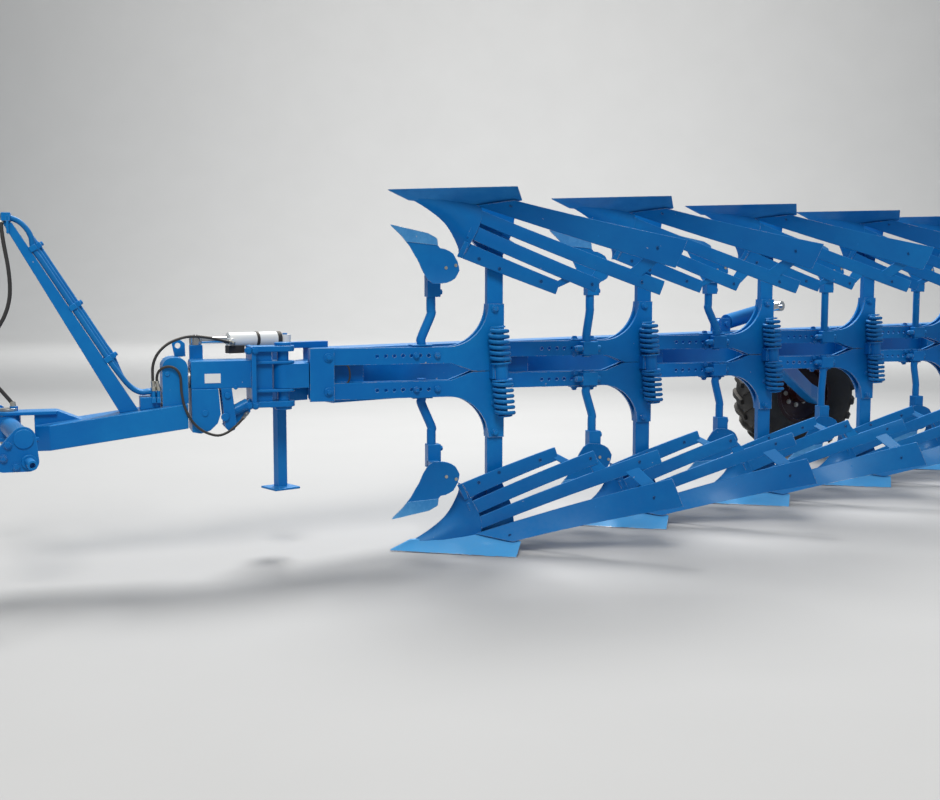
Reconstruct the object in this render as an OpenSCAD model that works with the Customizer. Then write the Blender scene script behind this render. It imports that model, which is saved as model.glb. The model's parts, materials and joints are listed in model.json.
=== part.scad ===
// Semi-mounted reversible moldboard plough with six pairs of bodies.
// Millimetres. X runs to the rear along the main beam, Y to the far side, Z up.
// The floor is at Z = 0, under the middle of the plough.
// Along, across and up in the comments are the direction of travel, square to it, and Z.

/* [Main beam] */
// Distance between neighbouring pairs of bodies, along the beam
pair_pitch = 1000; // [940:10:1060]
// Angle between the beam and the direction of travel
plough_angle = 22; // [20:0.5:24]
// Height of the beam's middle above the floor
mid_height = 826; // [826:1:870]
// Width of the beam
beam_width = 160; // [140:5:180]
// Height of the beam
beam_height = 220; // [216:2:230]
// Gap between a console's front corner and the beam's near face
beam_gap = 5.4; // [4:0.2:10]
// Length of beam behind the last pair of legs
beam_tail = 260; // [200:10:400]

/* [Consoles] */
// Length of the rails ahead of the legs
rail_length = 860; // [850:5:865]
// Height of one rail
rail_height = 74; // [66:1:80]
// Half of the gap between the upper and the lower rail
rail_gap = 40; // [38:1:46]
// Thickness of the console's side plates
side_plate = 15; // [12:1:18]
// Radius of the curved edge between rail and leg
console_radius = 194; // [180:2:200]
// Diameter of the holes in the rails
rail_hole = 17; // [14:1:20]
// Distance between the holes in the rails
hole_pitch = 40; // [36:1:42]

/* [Legs and bodies] */
// Width of a leg, along
leg_width = 76; // [70:1:82]
// Thickness of a leg, across
leg_thickness = 40; // [34:1:46]
// Thickness of the shares
share_thickness = 12; // [10:1:16]
// Thickness of the moldboard slats
slat_thickness = 9; // [7:1:12]

/* [Overload springs] */
// Outer diameter of a coil
coil_diameter = 100; // [90:2:104]
// Diameter of the spring wire
coil_wire = 18; // [14:1:20]
// Turns in one coil
coil_turns = 5.5; // [4.5:0.5:6.5]
// Length of one coil
coil_length = 160; // [140:5:180]

/* [Skimmers] */
// Diameter of a skimmer's stalk
stalk_diameter = 42; // [36:1:46]
// Distance from the legs forward to the stalks
stalk_ahead = 332; // [325:1:340]

/* [Pivot and turnover unit] */
// Distance from the first legs forward to the beam's pivot
pivot_ahead = 985; // [975:1:1000]
// Diameter of the beam's pivot pin
pivot_pin_d = 50; // [44:1:60]
// Gap round a pin in its bore
pin_clearance = 0.05; // [0.03:0.01:0.09]
// Gap between the faces of moving pieces
face_clearance = 0.5; // [0.3:0.1:1]
// Width of the turnover box, across
box_width = 150; // [130:2:154]
// Height of the turnover box
box_height = 118; // [110:2:124]
// Diameter of the turnover shaft
turn_shaft_d = 90; // [80:1:100]

/* [Drawbar and hitch] */
// Height of the drawbar's tube
drawbar_height = 104; // [96:2:110]
// Width of the drawbar's tube
drawbar_width = 200; // [180:5:220]
// Distance from the first legs forward to the steering pin
hitch_ahead = 2120; // [2080:5:2160]
// Diameter of the steering pin
steer_pin_d = 50; // [44:1:56]
// Diameter of the lower link pins, category 3
link_pin_d = 36.6; // [36.6:0.1:37]
// Length of a lower link pin
link_pin_length = 110; // [100:1:130]
// Distance between the shoulders of the lower link pins
link_span = 965; // [940:5:1000]

/* [Mast] */
// Depth of the mast's tube
mast_depth = 64; // [60:2:80]
// Diameter of the hoses along the mast
mast_hose_d = 22; // [18:1:24]

/* [Stand] */
// Width of the stand's square leg
stand_width = 46; // [40:1:50]
// Height of the lifted foot above the floor
foot_lift = 295; // [285:5:320]

/* [Wheel] */
// Diameter over the tyre's lugs
tyre_diameter = 860; // [840:5:870]
// Width of the tyre
tyre_width = 360; // [340:5:380]
// Diameter of the rim's bead
rim_diameter = 400; // [390:2:410]
// Diameter of the wheel's stub axle
stub_axle_d = 60; // [50:1:70]

/* [Hidden] */
pairs = 6;
beam_offset = beam_gap + rail_length * sin(plough_angle) + (leg_thickness / 2 + side_plate) * cos(plough_angle);
$fn = 48;
blue = "#1F74BF";
dark = "#1B1B1D";
steel = "#C9CBCB";
cream = "#D8D6C8";
red = "#6E1B1B";

// The plough's floor point lies under the middle of its box
centre_x = 1642;
centre_y = 327;

// Pose helpers: the beam's frame has leg 1 at its origin, the travel frame is turned to the travel
module place() translate([-centre_x, -centre_y, mid_height]) children();
module travel() rotate([0, 0, -plough_angle]) children();
module pair(i) place() translate([(i - 1) * pair_pitch, 0, 0]) travel() children();
module front() place() travel() children();
module both_ways() {
    children();
    mirror([0, 0, 1]) children();
}

// A point of the travel frame, along and across, in the beam's frame
function beam_xy(along, across) = [
    along * cos(plough_angle) + across * sin(plough_angle),
    across * cos(plough_angle) - along * sin(plough_angle)
];

// A sheet of even thickness through rows of points, all rows equally long, thickened along a way
module sheet(rows, way, thickness) {
    n = len(rows);
    k = len(rows[0]);
    step = way / norm(way) * thickness;
    points = concat([for (r = rows, p = r) p], [for (r = rows, p = r) p + step]);
    back = n * k;
    grid = [for (i = [0 : n - 2], j = [0 : k - 2])
        [i * k + j, i * k + j + 1, (i + 1) * k + j + 1, (i + 1) * k + j]];
    top = [for (q = grid, t = [[q[0], q[1], q[2]], [q[0], q[2], q[3]]]) t];
    under = [for (t = top) [t[2] + back, t[1] + back, t[0] + back]];
    rim = concat(
        [for (j = [0 : k - 2]) [j, j + 1]],
        [for (i = [0 : n - 2]) [i * k + k - 1, (i + 1) * k + k - 1]],
        [for (j = [k - 2 : -1 : 0]) [(n - 1) * k + j + 1, (n - 1) * k + j]],
        [for (i = [n - 2 : -1 : 0]) [(i + 1) * k, i * k]]
    );
    sides = [for (e = rim, t = [[e[1], e[0], e[0] + back], [e[1], e[0] + back, e[1] + back]]) t];
    all = concat(top, under, sides);
    facing = cross(rows[0][1] - rows[0][0], rows[1][0] - rows[0][0]) * way;
    polyhedron(points = points, faces = facing < 0 ? [for (t = all) [t[2], t[1], t[0]]] : all);
}

// A round bar from one point to another
module bar(from, to, d) {
    way = to - from;
    length = norm(way);
    translate(from)
        rotate([0, acos(way[2] / length), atan2(way[1], way[0])])
            cylinder(d = d, h = length);
}

// Beam: its near face is beam_offset from the line of the legs
beam_start = -640;
beam_mid = beam_offset + beam_width / 2;
beam_far = beam_offset + beam_width;
strap_length = 520;
strap_thick = 32;
module main_beam() {
    length = (pairs - 1) * pair_pitch + beam_tail - beam_start;
    color(blue) place() translate([beam_start, beam_offset, -beam_height / 2])
        cube([length, beam_width, beam_height]);
    // Strap under the beam's front end
    color(blue) place() translate([beam_start, beam_offset + 20, -beam_height / 2 - strap_thick])
        cube([strap_length, beam_width - 40, strap_thick]);
}

// Pivot between beam and turnover unit, in the travel frame
turn_across = -40;
pivot_xy = beam_xy(-pivot_ahead, turn_across);
outer_plate_z = 108;
plate_thick = 25;
inner_plate_z = 55;
inner_plate_thick = 12;
ear_radius = 50;
head_height = 2 * (inner_plate_z - face_clearance);
bore_d = pivot_pin_d + 2 * pin_clearance;
module pivot_at() place() translate([pivot_xy[0], pivot_xy[1], 0]) children();
// The head passes behind the first console's front end
head_gap = 4;
head_block = 70;
module beam_head() {
    back = beam_start - pivot_xy[0];
    nose = -rail_length - head_gap - 8;
    near = beam_xy(nose, -console_half - cover_thick) - pivot_xy;
    far = beam_xy(nose, console_half) - pivot_xy;
    color(blue) difference() {
        union() {
            pivot_at() translate([0, 0, -head_height / 2]) cylinder(r = ear_radius - 6, h = head_height);
            pivot_at() linear_extrude(head_height, center = true) polygon([
                [0, -ear_radius + 6],
                near,
                [far[0], beam_offset - pivot_xy[1]],
                [back, beam_offset - pivot_xy[1]],
                [back, beam_far - pivot_xy[1]],
                [back - head_block - 20, beam_far - pivot_xy[1]],
                [0, ear_radius - 6]
            ]);
            place() translate([beam_start - head_block, beam_offset, -beam_height / 2])
                cube([head_block, beam_width, beam_height]);
        }
        pivot_at() cylinder(d = bore_d, h = 400, center = true);
    }
}
pin_half = outer_plate_z + plate_thick;
module pivot_pin() {
    color(blue) pivot_at() {
        cylinder(d = pivot_pin_d, h = 2 * pin_half, center = true);
        both_ways() translate([0, 0, pin_half]) cylinder(d = pivot_pin_d + 24, h = 14);
    }
}

// Turnover box: a square tube with the pivot's four ears behind it
box_front = -1386;
box_back = -1133;
box_rise = 16;
end_plate = 20;
ear_start = box_back + end_plate;
cyl_lug_along = -1352;
cyl_lug_across = 30;
cyl_z = 155;
module ear(z, thick) {
    translate([0, turn_across, z]) linear_extrude(thick) difference() {
        union() {
            translate([-pivot_ahead, 0]) circle(r = ear_radius);
            translate([ear_start, -ear_radius]) square([-pivot_ahead - ear_start, 2 * ear_radius]);
        }
        translate([-pivot_ahead, 0]) circle(d = bore_d);
    }
}
module turnover_box() {
    color(blue) front() {
        translate([box_front, turn_across - box_width / 2, box_rise - box_height / 2])
            cube([box_back - box_front, box_width, box_height]);
        translate([box_back, turn_across - 100, -pin_half]) cube([end_plate, 200, 2 * pin_half]);
        both_ways() {
            ear(outer_plate_z, plate_thick);
            ear(inner_plate_z, inner_plate_thick);
        }
        // Lug under the swing cylinder's rod eye
        translate([cyl_lug_along - 28, cyl_lug_across - 25, box_rise + box_height / 2 - 4])
            cube([56, 30, cyl_z - swing_eye_h / 2 - face_clearance - box_rise - box_height / 2 + 4]);
    }
}
shaft_front = -1486;
module turnover_shaft() {
    color(steel) front() translate([shaft_front, turn_across, 0]) rotate([0, 90, 0])
        cylinder(d = turn_shaft_d, h = box_front - shaft_front);
}

// Drawbar: a tube that falls towards the hitch
drawbar_back = -1402;
drawbar_fall = 7.4;
drawbar_tip_z = -235;
fork_z = -181;
nose_length = 60;
nose_width = 74;
fork_half = 46;
fork_plate = 15;
tube_front = -hitch_ahead + 102;
neck_end = tube_front + 0.3 * (drawbar_back - tube_front);
function drawbar_z(along) = drawbar_tip_z + (along - tube_front) * tan(drawbar_fall);
module drawbar() {
    half = drawbar_width / 2;
    color(blue) front() translate([0, turn_across, 0]) {
        // The tube, with its sides tapered to the fork
        intersection() {
            rotate([90, 0, 0]) linear_extrude(drawbar_width, center = true) polygon([
                [tube_front, drawbar_z(tube_front) - drawbar_height / 2],
                [drawbar_back, drawbar_z(drawbar_back) - drawbar_height / 2],
                [drawbar_back, drawbar_z(drawbar_back) + drawbar_height / 2],
                [tube_front, drawbar_z(tube_front) + drawbar_height / 2]
            ]);
            translate([0, 0, -500]) linear_extrude(600) polygon([
                [tube_front, -nose_width / 2], [tube_front + nose_length, -half],
                [drawbar_back, -half], [drawbar_back, half],
                [tube_front + nose_length, half], [tube_front, nose_width / 2]
            ]);
        }
        // Neck that lifts the fork above the tube
        rotate([90, 0, 0]) linear_extrude(nose_width, center = true) polygon([
            [tube_front, fork_z - fork_half - fork_plate],
            [tube_front + 60, drawbar_z(tube_front + 60) - 10],
            [neck_end + 20, drawbar_z(neck_end + 20)],
            [neck_end, top_of_drawbar(neck_end)],
            [(tube_front + neck_end) / 2, fork_z + fork_half + fork_plate],
            [tube_front, fork_z + fork_half + fork_plate]
        ]);
        // Fork round the headstock's hub
        for (z = [fork_z + fork_half, fork_z - fork_half - fork_plate])
            translate([0, 0, z]) linear_extrude(fork_plate) difference() {
                union() {
                    translate([-hitch_ahead, 0]) circle(r = 55);
                    translate([-hitch_ahead, -55]) square([nose_length + 130, 110]);
                }
                translate([-hitch_ahead, 0]) circle(d = steer_pin_d + 2 * pin_clearance);
            }
    }
}

// Housing that carries the turnover shaft on the drawbar's rear end
housing_front = -1505;
housing_back = box_front - 12;
housing_top = 92;
housing_round = 44;
module turnover_housing() {
    shoulder = housing_top - housing_round;
    color(blue) front() translate([0, turn_across, 0]) difference() {
        rotate([90, 0, 0]) linear_extrude(150, center = true) polygon([
            for (a = [180 : -15 : 90]) [housing_front + housing_round * (1 + cos(a)), shoulder + housing_round * sin(a)],
            for (a = [90 : -15 : 0]) [housing_back - housing_round * (1 - cos(a)), shoulder + housing_round * sin(a)],
            [housing_back, top_of_drawbar(housing_back)],
            [housing_front, top_of_drawbar(housing_front)]
        ]);
        translate([shaft_front - 2, 0, 0]) rotate([0, 90, 0])
            cylinder(d = turn_shaft_d + 2 * pin_clearance, h = 400);
    }
}

// Round turnover drive housing under the box
drum_front = box_front;
drum_top = box_rise - box_height / 2;
strut_width = 62;
module turnover_drive() {
    color(blue) front() translate([drum_front, turn_across, 0]) rotate([90, 0, 0])
        linear_extrude(box_width + 30, center = true) polygon([
            [0, -225], [0, drum_top], [112, drum_top], [120, -150], [107, -190], [76, -220], [36, -232]
        ]);
    // Lug plates behind the drive, and the strut from them to the ears
    color(blue) front() translate([0, turn_across, 0]) {
        for (m = [-box_width / 2, 0]) translate([0, m + 24, 0]) rotate([90, 0, 0]) linear_extrude(24) polygon([
            [-1262, drum_top], [-1216, drum_top], [-1198, -190], [-1206, -222], [-1228, -230], [-1246, -212]
        ]);
        rotate([90, 0, 0]) linear_extrude(strut_width, center = true) polygon([
            [-1250, -206], [-1216, -222], [box_back, -152], [box_back, -92]
        ]);
    }
}

module steering_pin() {
    color(steel) front() translate([-hitch_ahead, turn_across, fork_z]) {
        cylinder(d = steer_pin_d, h = 2 * (fork_half + fork_plate), center = true);
        both_ways() translate([0, 0, fork_half + fork_plate]) cylinder(d = steer_pin_d + 20, h = 12);
    }
}

// Headstock: a cross tube through the fork, with plates that carry the lower link pins
cross_tube_d = 75;
end_plate_thick = 20;
link_drop = 88;
link_back = 17;
// The headstock is parked a little turned, as the tractor left it
steer_rest = 9;
module headstock() {
    half = link_span / 2;
    color(blue) front() translate([-hitch_ahead, turn_across, fork_z]) rotate([0, 0, steer_rest]) {
        difference() {
            union() {
                cylinder(d = 96, h = 2 * (fork_half - face_clearance), center = true);
                rotate([90, 0, 0])
                    cylinder(d = cross_tube_d, h = link_span - 2 * end_plate_thick, center = true);
            }
            cylinder(d = steer_pin_d + 2 * pin_clearance, h = 400, center = true);
        }
        for (side = [0, 1]) mirror([0, side, 0]) {
            translate([0, half, 0]) rotate([90, 0, 0]) linear_extrude(end_plate_thick) hull() {
                circle(r = 46);
                translate([link_back, -link_drop]) circle(r = 38);
                translate([-70, -link_drop + 10]) circle(r = 46);
            }
            translate([link_back, half, -link_drop]) rotate([-90, 0, 0]) difference() {
                cylinder(d = link_pin_d, h = link_pin_length);
                translate([0, 0, link_pin_length - 18])
                    rotate([0, 90, 0]) cylinder(d = 12, h = 60, center = true);
            }
        }
    }
}

// Mast that carries the hoses, leaning forward from the drawbar's top
mast_foot_back = housing_front + 0.19 * (tube_front - housing_front);
mast_top_along = mast_foot_back - 477;
mast_top_z = 648;
mast_width = 70;
function top_of_drawbar(along) = drawbar_z(along) + drawbar_height / 2;
mast_lean = atan((mast_foot_back - mast_top_along) / (mast_top_z - top_of_drawbar(mast_foot_back)));
module mast() {
    front_foot = mast_foot_back - mast_depth / cos(mast_lean);
    color(blue) front() translate([0, turn_across, 0]) rotate([90, 0, 0])
        linear_extrude(mast_width, center = true) polygon([
            [mast_foot_back, top_of_drawbar(mast_foot_back)],
            [mast_top_along, mast_top_z],
            [mast_top_along - mast_depth * cos(mast_lean), mast_top_z + mast_depth * sin(mast_lean)],
            [front_foot, top_of_drawbar(front_foot)]
        ]);
}
hose_clamps = [0.16, 0.5, 0.82];
module mast_hoses() {
    top = [mast_top_along, turn_across, mast_top_z];
    foot = [mast_foot_back, turn_across, top_of_drawbar(mast_foot_back)];
    lift = [cos(mast_lean), 0, sin(mast_lean)];
    color(blue) front() {
        for (row = [-1 : 1]) {
            shift = lift * (mast_hose_d / 2 + 1) + [0, row * (mast_hose_d + 2), 0];
            bar(foot + shift + (top - foot) * 0.06, top + shift - (top - foot) * 0.02, mast_hose_d);
        }
        for (part = hose_clamps)
            translate(foot + (top - foot) * part) rotate([0, -mast_lean, 0])
                translate([0, -mast_width / 2 - 6, -16]) cube([mast_hose_d + 8, mast_width + 12, 32]);
    }
}
module hose_manifold() {
    back = housing_front - 7;
    ahead = mast_foot_back + 7;
    color(blue) front() translate([0, turn_across, 0]) rotate([90, 0, 0])
        linear_extrude(110, center = true) polygon([
            [ahead, top_of_drawbar(ahead)], [back, top_of_drawbar(back)], [back, -74], [ahead, -74]
        ]);
}

// Swing cylinder between the beam and the turnover box
swing_pin_d = 22;
swing_eye_d = 54;
swing_eye_h = 34;
swing_base = [-945, 150];
swing_rod_end = [cyl_lug_along, cyl_lug_across];
swing_way = swing_rod_end - swing_base;
swing_turn = atan2(swing_way[1], swing_way[0]);
swing_length = norm(swing_way);
swing_barrel_d = 64;
swing_rod_d = 32;
swing_barrel_length = 275;
module swing_base() {
    spot = beam_xy(swing_base[0], swing_base[1]);
    color(blue) place() {
        translate([spot[0] - swing_eye_d / 2, spot[1] - swing_eye_d / 2, beam_height / 2])
            cube([beam_start - spot[0] + 60, swing_eye_d,
                cyl_z - swing_eye_h / 2 - face_clearance - beam_height / 2]);
        translate([spot[0], spot[1], beam_height / 2])
            cylinder(d = swing_pin_d, h = cyl_z - beam_height / 2 + 24);
    }
}
module swing_frame() front()
    translate([swing_base[0], swing_base[1], cyl_z]) rotate([0, 0, swing_turn]) children();
module swing_barrel() {
    color(cream) swing_frame() difference() {
        union() {
            cylinder(d = swing_eye_d, h = swing_eye_h, center = true);
            translate([15, 0, 0]) rotate([0, 90, 0]) cylinder(d = swing_eye_h, h = 40);
            translate([34, 0, 0]) rotate([0, 90, 0]) cylinder(d = swing_barrel_d, h = swing_barrel_length - 34);
        }
        cylinder(d = swing_pin_d + 2 * pin_clearance, h = 100, center = true);
        translate([60, 0, 0]) rotate([0, 90, 0]) cylinder(d = swing_rod_d + 2 * pin_clearance, h = 400);
    }
}
module swing_rod() {
    color(steel) swing_frame() {
        translate([150, 0, 0]) rotate([0, 90, 0]) cylinder(d = swing_rod_d, h = swing_length - 150 - 20);
        translate([swing_length, 0, 0]) cylinder(d = swing_eye_d, h = swing_eye_h, center = true);
        translate([swing_length, 0, 0]) cylinder(d = swing_pin_d, h = swing_eye_h / 2 + 10);
    }
}

// Stand: a square leg in a sleeve beside the beam's head, drawn up as parked on the shares
stand_spot = [-840, 515];
sleeve_wall = 10;
sleeve_top = 60;
sleeve_bottom = -160;
leg_top = 100;
foot_size = 130;
module stand_sleeve() {
    outer = stand_width + 2 * sleeve_wall;
    color(blue) place() difference() {
        union() {
            translate([stand_spot[0] - outer / 2, stand_spot[1] - outer / 2, sleeve_bottom])
                cube([outer, outer, sleeve_top - sleeve_bottom]);
            translate([stand_spot[0], stand_spot[1] - outer / 2, -130])
                cube([beam_start - head_block - stand_spot[0], 45, 70]);
        }
        hole = stand_width / 2 + face_clearance;
        translate([stand_spot[0] - hole, stand_spot[1] - hole, -400])
            cube([stand_width + 2 * face_clearance, stand_width + 2 * face_clearance, 800]);
    }
}
module stand_leg() {
    foot_z = foot_lift - mid_height;
    color(blue) place() translate([stand_spot[0], stand_spot[1], 0]) {
        translate([-stand_width / 2, -stand_width / 2, foot_z])
            cube([stand_width, stand_width, leg_top - foot_z]);
        translate([-foot_size / 2, -foot_size / 2, foot_z]) cube([foot_size, foot_size, 10]);
    }
}

// Wheel with its arm and cylinder on the far side, places in the beam's frame
arm_pivot = [2800, -60];
wheel_x = 3780;
wheel_y = 1090;
wheel_z = tyre_diameter / 2 - mid_height;
arm_pin_d = 60;
arm_start = beam_far + 36;
arm_hub_width = 100;
module wheel_bracket() {
    color(blue) place() translate([arm_pivot[0], beam_far, arm_pivot[1]]) {
        translate([-110, 0, -80]) cube([220, arm_start - beam_far - face_clearance, 240]);
        rotate([-90, 0, 0]) cylinder(d = arm_pin_d, h = arm_start - beam_far + arm_hub_width + 10);
        translate([0, arm_start - beam_far + arm_hub_width + face_clearance, 0]) rotate([-90, 0, 0])
            cylinder(d = arm_pin_d + 30, h = 14);
    }
}
lever_tip = [2716, 254];
rod_eye_width = 44;
rod_eye_d = 62;
lever_pin_d = 28;
lever_thick = 22;
// The wheel stands square to the travel; the arm's end holds its stub axle in front of the tyre
arm_end_width = 84;
axle_reach = tyre_width / 2 + 40;
arm_end = [wheel_x, wheel_y] - (axle_reach + arm_end_width / 2) * [sin(plough_angle), cos(plough_angle)];
module arm_knee() translate([arm_end[0] - 170, arm_end[1] - 84, wheel_z + 10]) cube([20, 84, 90]);
module along_axle() translate([wheel_x, wheel_y, wheel_z]) travel() rotate([-90, 0, 0]) children();
module wheel_arm() {
    color(blue) place() difference() {
        union() {
            translate([arm_pivot[0], arm_start, arm_pivot[1]])
                rotate([-90, 0, 0]) cylinder(d = 120, h = arm_hub_width);
            hull() {
                translate([arm_pivot[0] + 40, arm_start + 8, arm_pivot[1] - 50]) cube([20, 84, 100]);
                arm_knee();
            }
            hull() {
                arm_knee();
                along_axle() translate([0, 0, -axle_reach - arm_end_width])
                    cylinder(r = 56, h = arm_end_width, $fn = 32);
            }
            hull() {
                translate([arm_pivot[0], arm_start, arm_pivot[1]])
                    rotate([-90, 0, 0]) cylinder(r = 58, h = lever_thick, $fn = 32);
                translate([lever_tip[0], arm_start, lever_tip[1]])
                    rotate([-90, 0, 0]) cylinder(r = 30, h = lever_thick, $fn = 32);
            }
            translate([lever_tip[0], beam_mid + rod_eye_width / 2 + face_clearance, lever_tip[1]])
                rotate([-90, 0, 0])
                cylinder(r = 30, h = arm_start - beam_mid - rod_eye_width / 2 + 5);
            along_axle() translate([0, 0, -axle_reach - 10]) cylinder(d = stub_axle_d, h = axle_reach + 70);
        }
        translate([arm_pivot[0], 0, arm_pivot[1]]) rotate([-90, 0, 0])
            cylinder(d = arm_pin_d + 2 * pin_clearance, h = 2000);
    }
}
module on_wheel() place() along_axle() children();
hub_d = 130;
rim_wall = 8;
module wheel_rim() {
    half = tyre_width / 2 - 40;
    r = rim_diameter / 2;
    color(red) on_wheel() difference() {
        union() {
            rotate_extrude($fn = 72) polygon([
                [hub_d / 2 - 20, -30], [r - 60, -30], [r - rim_wall, -60],
                    [r - rim_wall, -half], [r + 18, -half],
                [r + 18, -half + 8], [r, -half + 8], [r, half - 8], [r + 18, half - 8], [r + 18, half],
                [r - rim_wall, half], [r - rim_wall, -40], [r - 60, -20], [hub_d / 2 - 20, -20]
            ]);
            translate([0, 0, -half + 8]) cylinder(d = hub_d, h = half + 30);
            for (k = [0 : 7]) rotate([0, 0, 45 * k]) translate([85, 0, -48]) cylinder(d = 22, h = 20);
        }
        translate([0, 0, -400]) cylinder(d = stub_axle_d + 2 * pin_clearance, h = 400 + 62);
    }
}
// Tyre: a smooth carcass with two rows of slanted lugs, out to the tyre's diameter
lugs = 22;
lug_height = 24;
// A lug's sections: part of the half width, height of its top below the diameter, turn in degrees
lug_sections = [[0.04, 0, 0], [0.55, 3, 6], [0.96, 34, 12]];
lug_half = 2.1;
module lug() {
    r = tyre_diameter / 2;
    corners = [for (c = lug_sections, p = [[-1.25, 1], [-1, 0], [1, 0], [1.25, 1]])
        let (a = 90 + c[2] + p[0] * lug_half, out = r - c[1] - p[1] * (lug_height + 8))
        [out * cos(a), out * sin(a), c[0] * tyre_width / 2]];
    ends = [[0, 1, 2], [0, 2, 3], [10, 9, 8], [11, 10, 8]];
    sides = [for (k = [0, 4], j = [0 : 3]) let (n = (j + 1) % 4)
        each [[k + j, k + j + 4, k + n], [k + n, k + j + 4, k + n + 4]]];
    polyhedron(points = corners, faces = concat(ends, sides));
}
module wheel_tyre() {
    half = tyre_width / 2;
    seat = tyre_width / 2 - 48;
    r = rim_diameter / 2;
    outer = tyre_diameter / 2 - lug_height;
    side = outer - 75;
    shoulder = [for (a = [0 : 30 : 90]) [outer - 45 + 45 * sin(a), half - 20 - 30 + 30 * cos(a)]];
    upper = concat([[r, seat], [r + 20, seat], [r + 45, half - 12], [r + 90, half],
        [side, half - 4]], shoulder);
    color(dark) on_wheel() {
        rotate_extrude($fn = 72) polygon(concat(
            [for (p = upper) p], [for (i = [len(upper) - 1 : -1 : 0]) [upper[i][0], -upper[i][1]]]
        ));
        for (k = [0 : lugs - 1]) {
            rotate([0, 0, 360 / lugs * k]) lug();
            rotate([0, 0, 360 / lugs * (k + 0.5)]) mirror([0, 0, 1]) lug();
        }
    }
}
wheel_base_pin = [2155, 156];
wheel_way = lever_tip - wheel_base_pin;
wheel_cyl_rise = atan2(wheel_way[1], wheel_way[0]);
wheel_cyl_length = norm(wheel_way);
base_pin_d = 30;
base_eye_width = 50;
module wheel_base() {
    color(blue) place() translate([wheel_base_pin[0], beam_mid, wheel_base_pin[1]]) {
        for (side = [0, 1]) mirror([0, side, 0])
            translate([-45, base_eye_width / 2 + face_clearance, beam_height / 2 - wheel_base_pin[1]])
            cube([90, 14, wheel_base_pin[1] - beam_height / 2 + 34]);
        rotate([90, 0, 0]) cylinder(d = base_pin_d, h = base_eye_width + 60, center = true);
    }
}
module wheel_cyl_frame() place() translate([wheel_base_pin[0], beam_mid, wheel_base_pin[1]])
    rotate([0, -wheel_cyl_rise, 0]) children();
wheel_barrel_d = 90;
wheel_rod_d = 45;
wheel_barrel_length = 390;
module wheel_barrel() {
    color(blue) wheel_cyl_frame() difference() {
        union() {
            rotate([90, 0, 0]) cylinder(d = 58, h = base_eye_width, center = true);
            translate([26, 0, 0]) rotate([0, 90, 0]) cylinder(d = 44, h = 40);
            translate([55, 0, 0]) rotate([0, 90, 0]) cylinder(d = wheel_barrel_d, h = wheel_barrel_length - 55);
        }
        rotate([90, 0, 0]) cylinder(d = base_pin_d + 2 * pin_clearance, h = 100, center = true);
        translate([100, 0, 0]) rotate([0, 90, 0]) cylinder(d = wheel_rod_d + 2 * pin_clearance, h = 400);
    }
}
module wheel_rod() {
    color(steel) wheel_cyl_frame() {
        translate([180, 0, 0]) rotate([0, 90, 0]) cylinder(d = wheel_rod_d, h = wheel_cyl_length - 180 - 20);
        translate([wheel_cyl_length, 0, 0])
            rotate([90, 0, 0]) cylinder(d = rod_eye_d, h = rod_eye_width, center = true);
        translate([wheel_cyl_length, 0, 0])
            rotate([90, 0, 0]) cylinder(d = lever_pin_d, h = rod_eye_width / 2 + 12);
    }
}

// Console: rails and curved plates, the same above and below, in the travel frame of its pair
console_half = leg_thickness / 2 + side_plate;
holes = 8;
last_hole = 282;
split_gap = 2;
apex = 111;
rail_low = rail_gap;
rail_top = rail_gap + rail_height;
plate_back = leg_width / 2;
arc_start = leg_width / 2 - 1 + console_radius;
plate_top = rail_top + console_radius;
module console_plate() {
    difference() {
        polygon(concat(
            [[-rail_length, rail_low], [-rail_length, rail_top]],
            [for (a = [0 : 7.5 : 90]) [-arc_start + console_radius * sin(a), plate_top - console_radius * cos(a)]],
            [[plate_back, plate_top], [plate_back, split_gap], [-apex, split_gap], [-apex - 104, rail_low]]
        ));
        for (k = [0 : holes - 1])
            translate([-last_hole - k * hole_pitch, rail_low + rail_height / 2]) circle(d = rail_hole);
    }
}
front_blocks = [80, 55];
cover_length = 108;
cover_thick = 18;
module console(i) {
    a = beam_xy(-rail_length, console_half);
    b = beam_xy(-rail_length + 250, console_half);
    color(blue) pair(i) {
        both_ways() for (m = [-console_half, leg_thickness / 2])
            translate([0, m + side_plate, 0]) rotate([90, 0, 0]) linear_extrude(side_plate) console_plate();
        // Front block between the rails; the first one has a cover plate on the near side
        translate([-rail_length, -console_half, -rail_top])
            cube([front_blocks[i == 1 ? 0 : 1], 2 * console_half, 2 * rail_top]);
        if (i == 1) translate([-rail_length - 8, -console_half - cover_thick, -rail_top - 4])
            cube([cover_length, cover_thick, 2 * rail_top + 8]);
    }
    // Wedge that carries the console on the beam's near face
    color(blue) place() translate([(i - 1) * pair_pitch, 0, 0]) linear_extrude(2 * rail_top - 10, center = true)
        polygon([a, b, [b[0], beam_offset], [a[0], beam_offset]]);
}

// A pair's legs with their points, breasts and slats: along, across and distance from the middle
leg_end = 640;
share_tip = [-497, 17, 822];
share_wing = [17, -279, 826];
share_rear = [62, -212, 772];
share_fold = [-85, -62, 752];
share_heel = [-401, 10, 777];
share_middle = [-150, -183, 825];
share_way = [0.3, 1, -0.4];
breast_edge = [[-404, 17, 785], [-320, 12, 740], [-228, 14, 668], [-171, 14, 569], [-170, 14, 520]];
breast_rear = [[-84, -54, 762], [-82, -68, 715], [-95, -72, 660], [-130, -68, 590], [-168, -50, 520]];
// Slats: front upper and lower corner, rear lower and upper corner, sag of the middle across
slats = [
    [[-160, -58, 524], [-128, -68, 592], [268, -150, 410], [252, -140, 352], 14],
    [[-118, -70, 610], [-92, -74, 668], [424, -252, 420], [405, -236, 362], 20],
    [[-86, -72, 684], [-82, -72, 742], [676, -392, 412], [662, -372, 350], 30],
    [[-78, -76, 752], [58, -212, 770], [726, -510, 592], [690, -468, 470], 34]
];
slat_steps = 6;
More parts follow.
